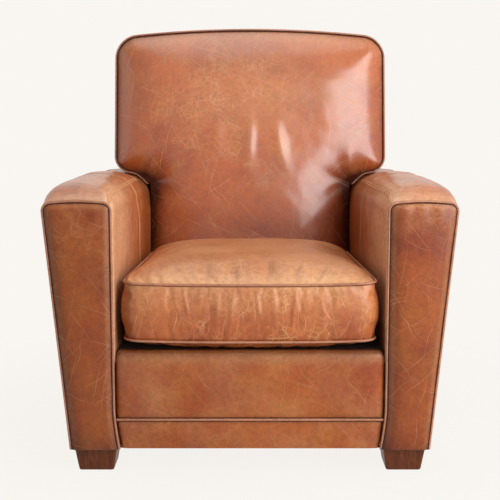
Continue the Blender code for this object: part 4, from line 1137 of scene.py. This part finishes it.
def back_outline(inset):
    """Path round the back's face, from one inner corner over the top to the other."""
    right = [(x, back_top_z(x)) for x in spread(0.0, BACK_HALF - BACK_CORNER, 24)]
    right += [(x, back_top_z(x)) for x in corner_xs(6)[1:]]
    side_low, side_high = wing_low_z(BACK_HALF), back_top_z(BACK_HALF)
    right += [(BACK_HALF, z) for z in spread(side_high, side_low, 20)[1:-1]]
    low_corner = [BACK_HALF - BACK_LOWER_CORNER * (1 - math.cos(math.radians(a))) for a in range(0, 91, 9)]
    right += [(x, wing_low_z(x)) for x in low_corner]
    right += [(x, wing_low_z(x)) for x in spread(BACK_HALF - BACK_LOWER_CORNER, SEAT_HALF_REAR, 16)[1:]]
    flat = [(-x, z) for x, z in right[:0:-1]] + right
    path = []
    for k, (x, z) in enumerate(flat):
        x0, z0 = flat[max(k - 1, 0)]
        x1, z1 = flat[min(k + 1, len(flat) - 1)]
        along = Vector((x1 - x0, 0, z1 - z0)).normalized()
        path.append(Vector((x, rim_y(z), z)) + inset * Vector((-along.z, 0, along.x)))
    return path


# Dark tube of painted groove shade in front of the back's piping.
edge = [p + Vector((0.0, -2.0 * MM, 0.0)) for p in back_outline(0.2 * MM)]
sew_piping("back", "", back_outline(WELT_RADIUS), [edge], 1.7 * MM, fit=drape_wings)

# %% [markdown]
# ## Outside back
#
# A plain panel of leather closes the rear of the chair, tacked over a layer of cardboard
# and wadding. It is one flat pad with a thin rounded edge and a low crown.

# %% Make the outside back


def outside_back():
    """Rear panel: it is as wide as the arms up to their tops, and as the back above."""
    corner = corner_xs(6)
    inner = spread(0.0, corner[0], 24)[:-1] + corner
    arm_columns, low_rows, high_rows = 16, 54, 42
    half_columns = len(inner) - 1 + arm_columns

    def spot(i, j):
        side = j - half_columns
        sign = -1 if side < 0 else 1
        step = abs(side)
        if step < len(inner):
            x = inner[step]
            if i <= low_rows:
                return sign * x, body_bottom + (ARM_TOP - body_bottom) * i / low_rows
            return sign * x, ARM_TOP + (back_top_z(x) - ARM_TOP) * (i - low_rows) / high_rows
        share = math.sin(0.5 * math.pi * (step - len(inner) + 1) / arm_columns)
        edge = arm_outer_x(ARM_TOP - ARM_OUTER_RADIUS)
        top = arm_top_z(BACK_HALF + (edge - BACK_HALF) * share)
        z = body_bottom + (top - body_bottom) * i / low_rows
        return sign * (BACK_HALF + (arm_outer_x(z) - BACK_HALF) * share), z

    def edge_distance(x, z):
        side = abs(x)
        if side > BACK_HALF:
            return nearest(arm_outer_x(z) - side, arm_top_z(side) - z, z - body_bottom)
        if z > ARM_TOP:
            return nearest(BACK_HALF - side, back_top_z(x) - z)
        return nearest(math.hypot(BACK_HALF - side, ARM_TOP - z), arm_outer_x(z) - side, z - body_bottom)

    def face(x, z):
        edge = edge_distance(x, z)
        across = 1 - min(abs(x) / BACK_HALF, 1.0) ** 2
        crown = BACK_PANEL_CROWN * across * math.sin(math.pi * (z - body_bottom) / (BACK_TOP - body_bottom))
        soft = 1 - math.exp(-edge / (5 * MM))
        fold = (1.2 * MM * ripple((x, 0, z), 0.11, 3.0) + 0.6 * MM * ripple((x, 0, z), 0.035, 6.0)) * soft
        return Vector((x, rear_y(z) + CLEARANCE + 4 * MM + (BACK_PANEL - 5 * MM + crown + fold) * soft, z))

    def back(x, z):
        return Vector((x, rear_y(z) + CLEARANCE, z))

    cells = [(i, j) for i in range(low_rows + high_rows) for j in range(2 * half_columns)
             if i < low_rows or arm_columns <= j < 2 * half_columns - arm_columns]
    return pad("outside_back_leather", cells, spot, face, back, leather_panel, layers=2,
               bulge=lambda key, share: 0.5 * MM)


panel = outside_back()
paint(panel, rub=lambda p, n: 0.3 * bell(p[2], 0.93, 0.03) + 0.15 * (0.5 + ripple(p, 0.15)),
      seam=lambda p, n: 0.45 * bell(p[2], body_bottom, 0.03),
      crack=lambda p, n: 0.25)
settle(panel, ["outside_back"])

# %% [markdown]
# ## Front rail
#
# The board under the cushion has a padded cover, and below it a plain band closes the
# edge, with piping between. Both have the same section run across the chair.

# %% Make the rail cover, the band and the piping


def rail_half(z):
    """Half the width between the arm fronts."""
    return front_inner_x(z) - 2 * CLEARANCE


def rail_piece(name, low, high, radius_low, radius_high, crown):
    """Padded cover across the front rail between two heights."""
    rear = rail_face_y + RAIL_COVER
    section = [(rear, low)]
    section += arc((rail_face_y + radius_low, low + radius_low), radius_low, 270, 180, 6)
    section += [(rail_face_y, z) for z in spread(low + radius_low, high - radius_high, 40)[1:-1]]
    section += arc((rail_face_y + radius_high, high - radius_high), radius_high, 180, 90, 10)
    section.append((rear, high))
    rings = []
    for share in spread(-1.0, 1.0, 150):
        ring = []
        for y, z in section:
            half = rail_half(z)
            x = share * half
            z -= arc_rise(radius_high - half + abs(x), radius_high) * ((z - low) / (high - low)) ** 6
            if y < rear - 5 * MM:
                edge = nearest(half - abs(x), high - z + radius_high, z - low + 2 * MM)
                y += 4 * MM * math.exp(-(half - abs(x)) / (5 * MM))
                y -= crown * (1 - math.exp(-edge / (28 * MM)))
                y -= 1.0 * MM * ripple((x, 0, z), 0.06, 2.0) * (1 - math.exp(-edge / (10 * MM)))
            ring.append(Vector((x, y, z)))
        rings.append(ring)
    return loft(name, rings, leather_panel)


band_top = body_bottom + BAND_HEIGHT
cover = rail_piece("rail_cover_leather", band_top + 2 * WELT_RADIUS, deck_top, 1.2 * MM, 14 * MM,
                   RAIL_COVER_CROWN)
# Darker at the top as painted shade under the cushion's front edge, and beside the piping.
paint(cover, rub=lambda p, n: 0.28 * bell(p[2], deck_top - 0.012, 0.012) + 0.2 * (0.4 + ripple(p, 0.08, 2.0)),
      seam=lambda p, n: 0.55 * bell(p[2], deck_top, 0.018) + 0.25 * bell(p[2], band_top, 0.01),
      crack=lambda p, n: 0.2)
settle(cover, ["rail_cover"])
band = rail_piece("rail_band_leather", body_bottom, band_top, 1.2 * MM, 1.2 * MM, 3 * MM)
paint(band, rub=lambda p, n: 0.15 * (0.5 + ripple(p, 0.06, 1.0)),
      seam=lambda p, n: 0.3 * bell(p[2], band_top, 0.006), crack=lambda p, n: 0.35)
settle(band, ["rail_band"])
welt_z = band_top + WELT_RADIUS
half = rail_half(welt_z) - CLEARANCE
path = [Vector((x, rail_face_y - 2 * MM, welt_z)) for x in spread(-half, half, 60)]
# Dark tubes of painted groove shade above and below the rail's piping.
edges = [[p + Vector((0.0, 0.4 * MM, d)) for p in path] for d in (-3.0 * MM, 3.2 * MM)]
sew_piping("rail", "", path, edges, 1.1 * MM)

# %% [markdown]
# ## Seat cushion
#
# The loose cushion is a top and a bottom panel with a boxing strip sewn between them over
# piping. Down and foam press the leather out, and it puckers where the seams hold it. So
# a slightly slack cushion is built, its two seams are pinned, and a cloth simulation
# blows it up. How far a point may move is capped, so the cushion keeps its place.

# %% Shape before the simulation

cushion_front = face_y + CUSHION_SETBACK + 2 * WELT_RADIUS
cushion_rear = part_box("cushion_zip")[0].y - CLEARANCE
CUSHION_COLUMNS = 84
BOXING_LAYERS = 14
# Share of the crown that is built: the simulation blows up the rest
SLACK = 0.76


def cushion_half(y):
    """Half width of the cushion at a depth, with its round corners."""
    edge = min(y - cushion_front, cushion_rear - y)
    return seat_half(y) - CUSHION_SIDE_GAP - arc_rise(CUSHION_CORNER - edge, CUSHION_CORNER)


def cushion_fullness(x, y):
    """How full the cushion is at a place: 0 at the seams and 1 in the middle."""
    across = min(abs(x) / max(cushion_half(y), 1e-6), 1.0)
    along = min(abs(2 * (y - cushion_front) / (cushion_rear - cushion_front) - 1), 1.0)
    return ((1 - across ** 3.5) * (1 - along ** 4)) ** 0.6


corner = [CUSHION_CORNER * (1 - math.cos(math.radians(a))) for a in range(0, 91, 9)]
cushion_ys = [cushion_front + c for c in corner]
cushion_ys += spread(cushion_ys[-1], cushion_rear - CUSHION_CORNER, 70)[1:-1]
cushion_ys += [cushion_rear - c for c in corner[::-1]]


def cushion_spot(i, j):
    """Place of a grid corner, across and along the cushion."""
    y = cushion_ys[i]
    return (-1 + 2 * j / CUSHION_COLUMNS) * cushion_half(y), y


def cushion_face(x, y):
    """Point of the crowned top."""
    return Vector((x, y, cushion_top_welt + SLACK * CUSHION_CROWN * cushion_fullness(x, y)))


def cushion_back(x, y):
    """Point of the bottom, which is flat where it rests on the deck."""
    belly = min(1.0, 1.7 * cushion_fullness(x, y)) * (CUSHION_BELLY - 0.6 * MM)
    return Vector((x, y, cushion_low_welt - belly))


def cushion_bulge(key, share):
    """Swelling of the boxing strip, which is flat behind for the zip."""
    swell = 0.0 if cushion_ys[key[0]] > cushion_rear - CUSHION_CORNER / 2 else CUSHION_SWELL
    return swell * math.sin(math.pi * share)


cells = grid(len(cushion_ys) - 1, CUSHION_COLUMNS)
cushion = pad("seat_cushion_leather", cells, cushion_spot, cushion_face, cushion_back, leather_seat,
              layers=BOXING_LAYERS, bulge=cushion_bulge, full_back=True)
print("cushion points", len(cushion.data.vertices))

# %% Cloth simulation of the cushion

CAP = 9 * MM
SIM_FRAMES = 20


def inflate(piece):
    """Blow up a slack cushion with its seams pinned, and cap how far each point moves."""
    before = places_of(piece)
    seam = piece.vertex_groups.new(name="seams")
    held = [k for k, z in enumerate(before[:, 2])
            if min(abs(z - cushion_top_welt), abs(z - cushion_low_welt)) < 0.2 * MM
            or z < deck_top + 1.2 * MM]
    seam.add(held, 1.0, "REPLACE")
    cloth = piece.modifiers.new("inflate", "CLOTH")
    settings = {"vertex_group_mass": seam.name, "use_pressure": True, "uniform_pressure_force": 4.0,
                "shrink_min": -0.035, "quality": 5, "tension_stiffness": 25.0,
                "compression_stiffness": 25.0, "bending_stiffness": 0.6}
    for key, value in settings.items():
        setattr(cloth.settings, key, value)
    cloth.settings.effector_weights.gravity = 0.0
    cloth.point_cache.frame_start = 1
    cloth.point_cache.frame_end = SIM_FRAMES
    for step in range(1, SIM_FRAMES + 1):
        bpy.context.scene.frame_set(step)
    baked(piece)
    bpy.context.scene.frame_set(1)
    move = places_of(piece) - before
    length = np.linalg.norm(move, axis=1)
    print("cushion moved up to", round(float(length.max()) / MM, 1), "mm")
    move_to(piece, before + move * (CAP * np.tanh(length / CAP) / np.maximum(length, 1e-9))[:, None])


inflate(cushion)
smooth = cushion.modifiers.new("round", "SUBSURF")
smooth.levels = 1
smooth.render_levels = 1
baked(cushion)
cushion.data.shade_smooth()

# %% Folds, wear and piping of the cushion

# Puckers of the front boxing, each with a random place, size, width and slant
PUCKERS = np.random.default_rng(11).uniform(0.0, 1.0, (15, 4))
CORNER_LIFT = 4.5 * MM


def cushion_fold(p, n):
    """Upright puckers in the front boxing, creases behind the front edge and soft dents."""
    x, y, z = p
    lift = 1.0 * MM * ripple(p, 0.06, 2.0) + 0.5 * MM * ripple(p, 0.02, 5.0)
    if n[1] < -0.4:
        for k, (place, size, width, slant) in enumerate(PUCKERS):
            middle = -0.16 + 0.021 * (k + 0.8 * place) + 0.5 * (slant - 0.5) * (z - cushion_top_welt)
            depth = bell(z, cushion_top_welt - 0.038 - 0.024 * slant, 0.034)
            lift += (0.5 + 1.9 * size) * MM * depth * bell(x, middle, 3 * MM + 3 * MM * width)
    if n[2] > 0.3:
        lift += 1.0 * MM * bell(y, cushion_front + 0.03, 0.05) * ripple((x, y * 0.3, 0), 0.022, 7.0)
        lift += 1.0 * MM * bell(y, cushion_rear - 0.10, 0.10) * ripple((x * 0.35, y, 0), 0.022, 3.0)
    seam = min(abs(z - cushion_top_welt), abs(z - cushion_low_welt))
    resting = n[2] < -0.5 and z < deck_top + 4 * MM
    return 0.0 if resting else lift * (1 - math.exp(-seam / (6 * MM)))


def raise_corners(piece):
    """Lift the cushion's front corners a little, as its middle sags under the sitter."""
    places = places_of(piece)
    for point in places:
        share = min(abs(point[0]) / SEAT_HALF_REAR, 1.0) ** 3
        point[2] += CORNER_LIFT * share * clamp(-point[1] / 0.3)
    move_to(piece, places)


def cushion_rub(p, n):
    """Most rubbed on the top, along the front edge and on the puckers."""
    y, z = p[1:]
    top = 0.70 * max(n[2], 0.0) * (0.75 + 0.5 * ripple(p, 0.12, 3.0))
    edge = 0.5 * bell(z, cushion_top_welt + 0.006, 0.014) * bell(y, cushion_front, 0.05)
    front = 0.22 * max(-n[1], 0.0) * bell(z, cushion_top_welt - 0.03, 0.04)
    return top + edge + front


def cushion_seam_and_shade(p, n):
    """Darker along the bottom seam, and painted shade on the sides where the cushion meets the arms."""
    x, y, z = p
    seam = 0.35 * bell(z, cushion_low_welt, 0.010)
    side = 0.5 * bell(abs(x), seat_half(y), 0.03) * bell(y, 0.1, 0.35)
    return seam + side


def cushion_cracks(p, n):
    """Cracked skin over the front edge and in the middle of the front."""
    x, y, z = p
    return bell(y, cushion_front + 0.02, 0.11) * bell(x, 0.02, 0.2) * (1.0 if z > cushion_low_welt else 0.0)


push(cushion, cushion_fold)
raise_corners(cushion)
paint(cushion, rub=cushion_rub, seam=cushion_seam_and_shade, crack=cushion_cracks)
settle(cushion, ["seat_cushion"])

loop = boundary(cells)
for name, height in (("top", cushion_top_welt), ("bottom", cushion_low_welt)):
    flat = [Vector((*cushion_spot(*key), height)) for key in loop]
    ways = {"piping": [], "edge": []}
    for k, point in enumerate(flat):
        along = (flat[(k + 1) % len(flat)] - flat[k - 1]).normalized()
        out = along.cross(Vector((0, 0, 1)))
        if out.dot(point - Vector((0, (cushion_front + cushion_rear) / 2, height))) < 0:
            out = -out
        ways["piping"].append(point + (WELT_RADIUS + CLEARANCE) * out)
        # The edge way is a dark tube of painted groove shade under the piping.
        ways["edge"].append(point + 2.2 * MM * out - Vector((0, 0, 2.6 * MM)))
    sew_piping("cushion", "_" + name, ways["piping"], [ways["edge"]], 1.2 * MM, closed=True,
               fit=raise_corners)

# %% [markdown]
# ## Hidden cloths
#
# Under the cushion, a pad of felt and cloth covers the springs. Strips of jute webbing
# carry the back's padding, and a thin black cloth closes the chair from below.

# %% Materials of the cloths, woods and metals


def woven(name, tone, dark, thread):
    """Plain weave: two sets of threads of a width in metres that pass over each other."""
    material, tree, shader, place = new_material(name)
    warp, weft, rise = (add(tree, "ShaderNodeTexWave", {"Vector": place, "Scale": 1 / (4 * thread)},
                            bands_direction=axis) for axis in "XYZ")
    across = highest(tree, weft, rise)
    weave = add(tree, "ShaderNodeMath", {0: warp, 1: across}, operation="MULTIPLY")
    dust = add(tree, "ShaderNodeTexNoise", {"Vector": place, "Scale": 1 / (30 * MM), "Detail": 5.0})
    mixed = add(tree, "ShaderNodeMath", {0: weave, 1: 0.5, 2: dust}, operation="MULTIPLY_ADD")
    tone = add(tree, "ShaderNodeMix", {0: mixed, 6: dark, 7: tone}, **COLOURS)
    bump = add(tree, "ShaderNodeBump", {"Height": weave, "Distance": 0.4 * thread, "Strength": 0.6})
    feed(tree, shader, {"Base Color": tone, "Roughness": 0.9, "Normal": bump})
    return material


def grained_wood(name, tone, dark, along, rough, ring=5 * MM):
    """Wood: growth rings drawn out along the board's length, with fine pores."""
    material, tree, shader, place = new_material(name)
    scale = [1 / ring] * 3
    scale["XYZ".index(along)] = 0.06 / ring
    drawn = add(tree, "ShaderNodeMapping", {"Vector": place, "Scale": scale})
    rings = add(tree, "ShaderNodeTexNoise", {"Vector": drawn, "Scale": 1.0, "Detail": 3.0, "Distortion": 0.6})
    pores = add(tree, "ShaderNodeTexNoise", {"Vector": drawn, "Scale": 9.0, "Detail": 2.0})
    fibre = add(tree, "ShaderNodeMath", {0: pores, 1: 0.45, 2: rings}, operation="MULTIPLY_ADD")
    fibre = add(tree, "ShaderNodeMapRange", {"Value": fibre, 1: 0.45, 2: 0.95})
    tone = add(tree, "ShaderNodeMix", {0: fibre, 6: dark, 7: tone}, **COLOURS)
    polish = add(tree, "ShaderNodeMapRange", {"Value": fibre, 3: rough + 0.08, 4: rough - 0.05})
    bump = add(tree, "ShaderNodeBump", {"Height": fibre, "Distance": 0.3 * MM, "Strength": 0.5})
    feed(tree, shader, {"Base Color": tone, "Roughness": polish, "Specular IOR Level": 0.3, "Normal": bump})
    return material


def drawn_steel(name, tone, rough):
    """Drawn steel wire: grey metal with a thin uneven skin of oil and rust bloom."""
    material, tree, shader, place = new_material(name)
    bloom = add(tree, "ShaderNodeTexNoise", {"Vector": place, "Scale": 1 / (8 * MM), "Detail": 4.0})
    tarnish = add(tree, "ShaderNodeMapRange", {"Value": bloom, 1: 0.5, 2: 0.75, 4: 0.5})
    tone = add(tree, "ShaderNodeMix", {0: tarnish, 6: tone, 7: "#6B4A35"}, **COLOURS)
    polish = add(tree, "ShaderNodeMapRange", {"Value": bloom, 3: rough - 0.08, 4: rough + 0.15})
    feed(tree, shader, {"Base Color": tone, "Metallic": 1.0, "Roughness": polish})
    return material


felt_cloth = woven("cotton_deck_cloth", "#3A2A20", "#1E1510", 1.2 * MM)
jute = woven("woven_jute_webbing", "#B08D5C", "#7A5C36", 2.2 * MM)
lining = woven("spunbond_dust_cloth", "#2B2826", "#141210", 0.8 * MM)
zip_tape = woven("cotton_zip_tape", "#5A3A26", "#37220F", 0.9 * MM)
stained_beech = grained_wood("stained_waxed_beech", "#733812", "#421C05", "Z", 0.42)
frame_wood = {axis: grained_wood("sawn_hardwood_" + axis.lower(), "#C9A778", "#A9834F", axis, 0.70, 7 * MM)
              for axis in "XYZ"}
steel = drawn_steel("drawn_spring_steel", "#A9A9AC", 0.38)

# %% Finish the carried-over nodes

for name, node in nodes.items():
    if name.startswith("foot_bolt") or name.startswith("seat_spring"):
        finish = steel
    elif name.startswith("foot_"):
        finish = stained_beech
    elif name == "cushion_zip":
        finish = zip_tape
    else:
        low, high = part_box(name)
        size = high - low
        finish = frame_wood["XYZ"[max(range(3), key=lambda k: size[k])]]
    for slot in node.material_slots:
        slot.material = finish
print("finished the carried-over nodes")

# %% Make the seat deck


def seat_deck():
    """Soft pad over the springs, a little hollow under the cushion."""
    low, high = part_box("seat_deck")
    rows, columns = 60, 56
    front, rear = low.y, high.y

    def spot(i, j):
        y = front + (rear - front) * i / rows
        return (-1 + 2 * j / columns) * (seat_half(y) - 2 * CLEARANCE), y

    def softness(x, y):
        edge = nearest(seat_half(y) - abs(x), y - front, rear - y)
        return 1 - math.exp(-edge / (6 * MM))

    def face(x, y):
        soft = softness(x, y)
        tuft = 0.8 * MM * ripple((x, y, 0), 0.05, 2.0)
        return Vector((x, y, high.z - 4 * MM * (1 - soft) - 1.2 * MM * soft + tuft * soft))

    def back(x, y):
        return Vector((x, y, low.z + 3 * MM * (1 - softness(x, y))))

    return pad("seat_deck_cloth", grid(rows, columns), spot, face, back, felt_cloth, layers=4, full_back=True)


settle(seat_deck(), ["seat_deck"])

# %% Make the webbing and the dust cloth

STRAP_THICKNESS = 1.6 * MM
RIB = 1.1 * MM
near = BACK_POST_DEPTH + 2 * CLEARANCE + 2 * MM
for place in ("left", "middle", "right"):
    low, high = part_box("back_strap_" + place)
    rings = []
    for z in spread(low.z, high.z, 220):
        y = rear_y(z) - near
        ribs = [0.25 * MM * math.sin(z / RIB) * math.cos(x / RIB) for x in spread(low.x, high.x, 20)]
        ring = [Vector((x, y + rib, z)) for x, rib in zip(spread(low.x, high.x, 20), ribs)]
        ring += [Vector((x, y + STRAP_THICKNESS, z)) for x in spread(high.x, low.x, 20)]
        rings.append(ring)
    strap = loft("jute_webbing_" + place, rings, jute)
    settle(strap, ["back_strap_" + place])

low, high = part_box("dust_cover")
FOOT_GAP = 5 * MM
reach = FOOT_INSET + FOOT_WIDTH + FOOT_GAP
xs = (low.x, reach - arm_outer_low, arm_outer_low - reach, high.x)
ys = (low.y, face_y + reach, rear_y(body_bottom) - reach, high.y)
cells = [(i, j) for i in range(3) for j in range(3) if i == 1 or j == 1]
under = pad("dust_cloth", cells, lambda i, j: (xs[j], ys[i]), lambda x, y: Vector((x, y, high.z)),
            lambda x, y: Vector((x, y, low.z)), lining)
under.data.shade_flat()
settle(under, ["dust_cover"])

# %% [markdown]
# ## Floor, light and camera
#
# The chair stands on a plain pale floor in soft studio light. A tall soft box at the
# right front gives the bright reflection on the back, a broad one above lights the
# cushion and the arm tops, and a weak one fills in from the left. The surroundings are
# white to the camera and in the glossy leather, but light the chair mostly from behind.

# %% Floor

PAPER = "#F9F6F2"


def seen(tree):
    """1 for what the camera sees, straight, in a reflection or through glass, else 0."""
    return highest(tree, *(add(tree, "ShaderNodeLightPath", {}, out=ray)
                           for ray in ("Is Camera Ray", "Is Glossy Ray", "Is Transmission Ray")))


def pale_floor():
    """Floor that shows as white paper to the camera and keeps the chair's shadow."""
    material, tree, shader, place = new_material("pale_studio_floor")
    feed(tree, shader, {"Base Color": "#E9E6E2", "Roughness": 0.9})
    reach = add(tree, "ShaderNodeVectorMath", {0: place}, out="Value", operation="LENGTH")
    near = add(tree, "ShaderNodeMapRange", {"Value": reach, 1: 0.45, 2: 1.2, 3: 0.06, 4: 0.0})
    rest = add(tree, "ShaderNodeMath", {0: 1.0, 1: near}, operation="SUBTRACT")
    white = add(tree, "ShaderNodeMath", {0: seen(tree), 1: rest}, operation="MULTIPLY")
    glow = add(tree, "ShaderNodeEmission", {"Color": PAPER, "Strength": 1.0})
    mixed = add(tree, "ShaderNodeMixShader", {0: white, 1: shader.outputs[0], 2: glow})
    feed(tree, tree.nodes["Material Output"], {"Surface": mixed})
    return material


FLOOR_HALF = 12.0
corners = [(-FLOOR_HALF, -FLOOR_HALF, 0), (FLOOR_HALF, -FLOOR_HALF, 0),
           (FLOOR_HALF, FLOOR_HALF, 0), (-FLOOR_HALF, FLOOR_HALF, 0)]
data = bpy.data.meshes.new("studio_floor")
data.from_pydata(corners, [], [(0, 1, 2, 3)])
data.materials.append(pale_floor())
floor = linked("studio_floor", data)
floor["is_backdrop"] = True

# %% World and lamps

world = bpy.data.worlds.new("white_studio")
world.use_nodes = True
bpy.context.scene.world = world
tree = world.node_tree
way = add(tree, "ShaderNodeTexCoord", {}, out="Generated")
depth = add(tree, "ShaderNodeSeparateXYZ", {"Vector": way}, out="Y")
behind = add(tree, "ShaderNodeMapRange", {"Value": depth, 1: -0.3, 2: 0.5, 3: 0.06, 4: 0.85})
feed(tree, tree.nodes["Background"], {"Color": PAPER, "Strength": highest(tree, behind, seen(tree))})

LAMPS = {
    # name: place, size across and up, brightness as radiance, aim
    "right_soft_box": ((1.46, -1.79, 1.34), (1.70, 2.10), 5.3, (0.0, 0.0, 0.70)),
    "top_soft_box": ((-0.1, -0.15, 2.60), (1.6, 1.2), 1.6, (0.0, -0.10, 0.40)),
    "left_fill": ((-2.7, -1.1, 1.20), (1.0, 1.6), 0.9, (0.0, 0.0, 0.50)),
}
for name, (place, (wide, tall), radiance, aim) in LAMPS.items():
    lamp = bpy.data.lights.new(name, "AREA")
    lamp.shape = "RECTANGLE"
    lamp.size = wide
    lamp.size_y = tall
    lamp.energy = radiance * math.pi * wide * tall
    light = linked(name, lamp)
    light.location = place
    light.rotation_euler = (Vector(aim) - Vector(place)).to_track_quat("-Z", "Y").to_euler()
print("lamps:", ", ".join(LAMPS))

# %% Camera

CAMERA_DISTANCE = 2.093
CAMERA_HEIGHT = 0.737
CAMERA_PITCH = 7.42
CAMERA_LENS = 75.05
lens = bpy.data.cameras.new("photo_camera")
lens.lens = CAMERA_LENS
camera = linked("photo_camera", lens)
camera.location = (0.0, arm_front_y - CAMERA_DISTANCE, CAMERA_HEIGHT)
camera.rotation_euler = (math.radians(90 - CAMERA_PITCH), 0.0, 0.0)
bpy.context.scene.camera = camera
bpy.context.scene.view_settings.view_transform = "Standard"

# %% Sizes and finish

low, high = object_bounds()
print("visual box", [round(v, 4) for v in (*low, *high)])
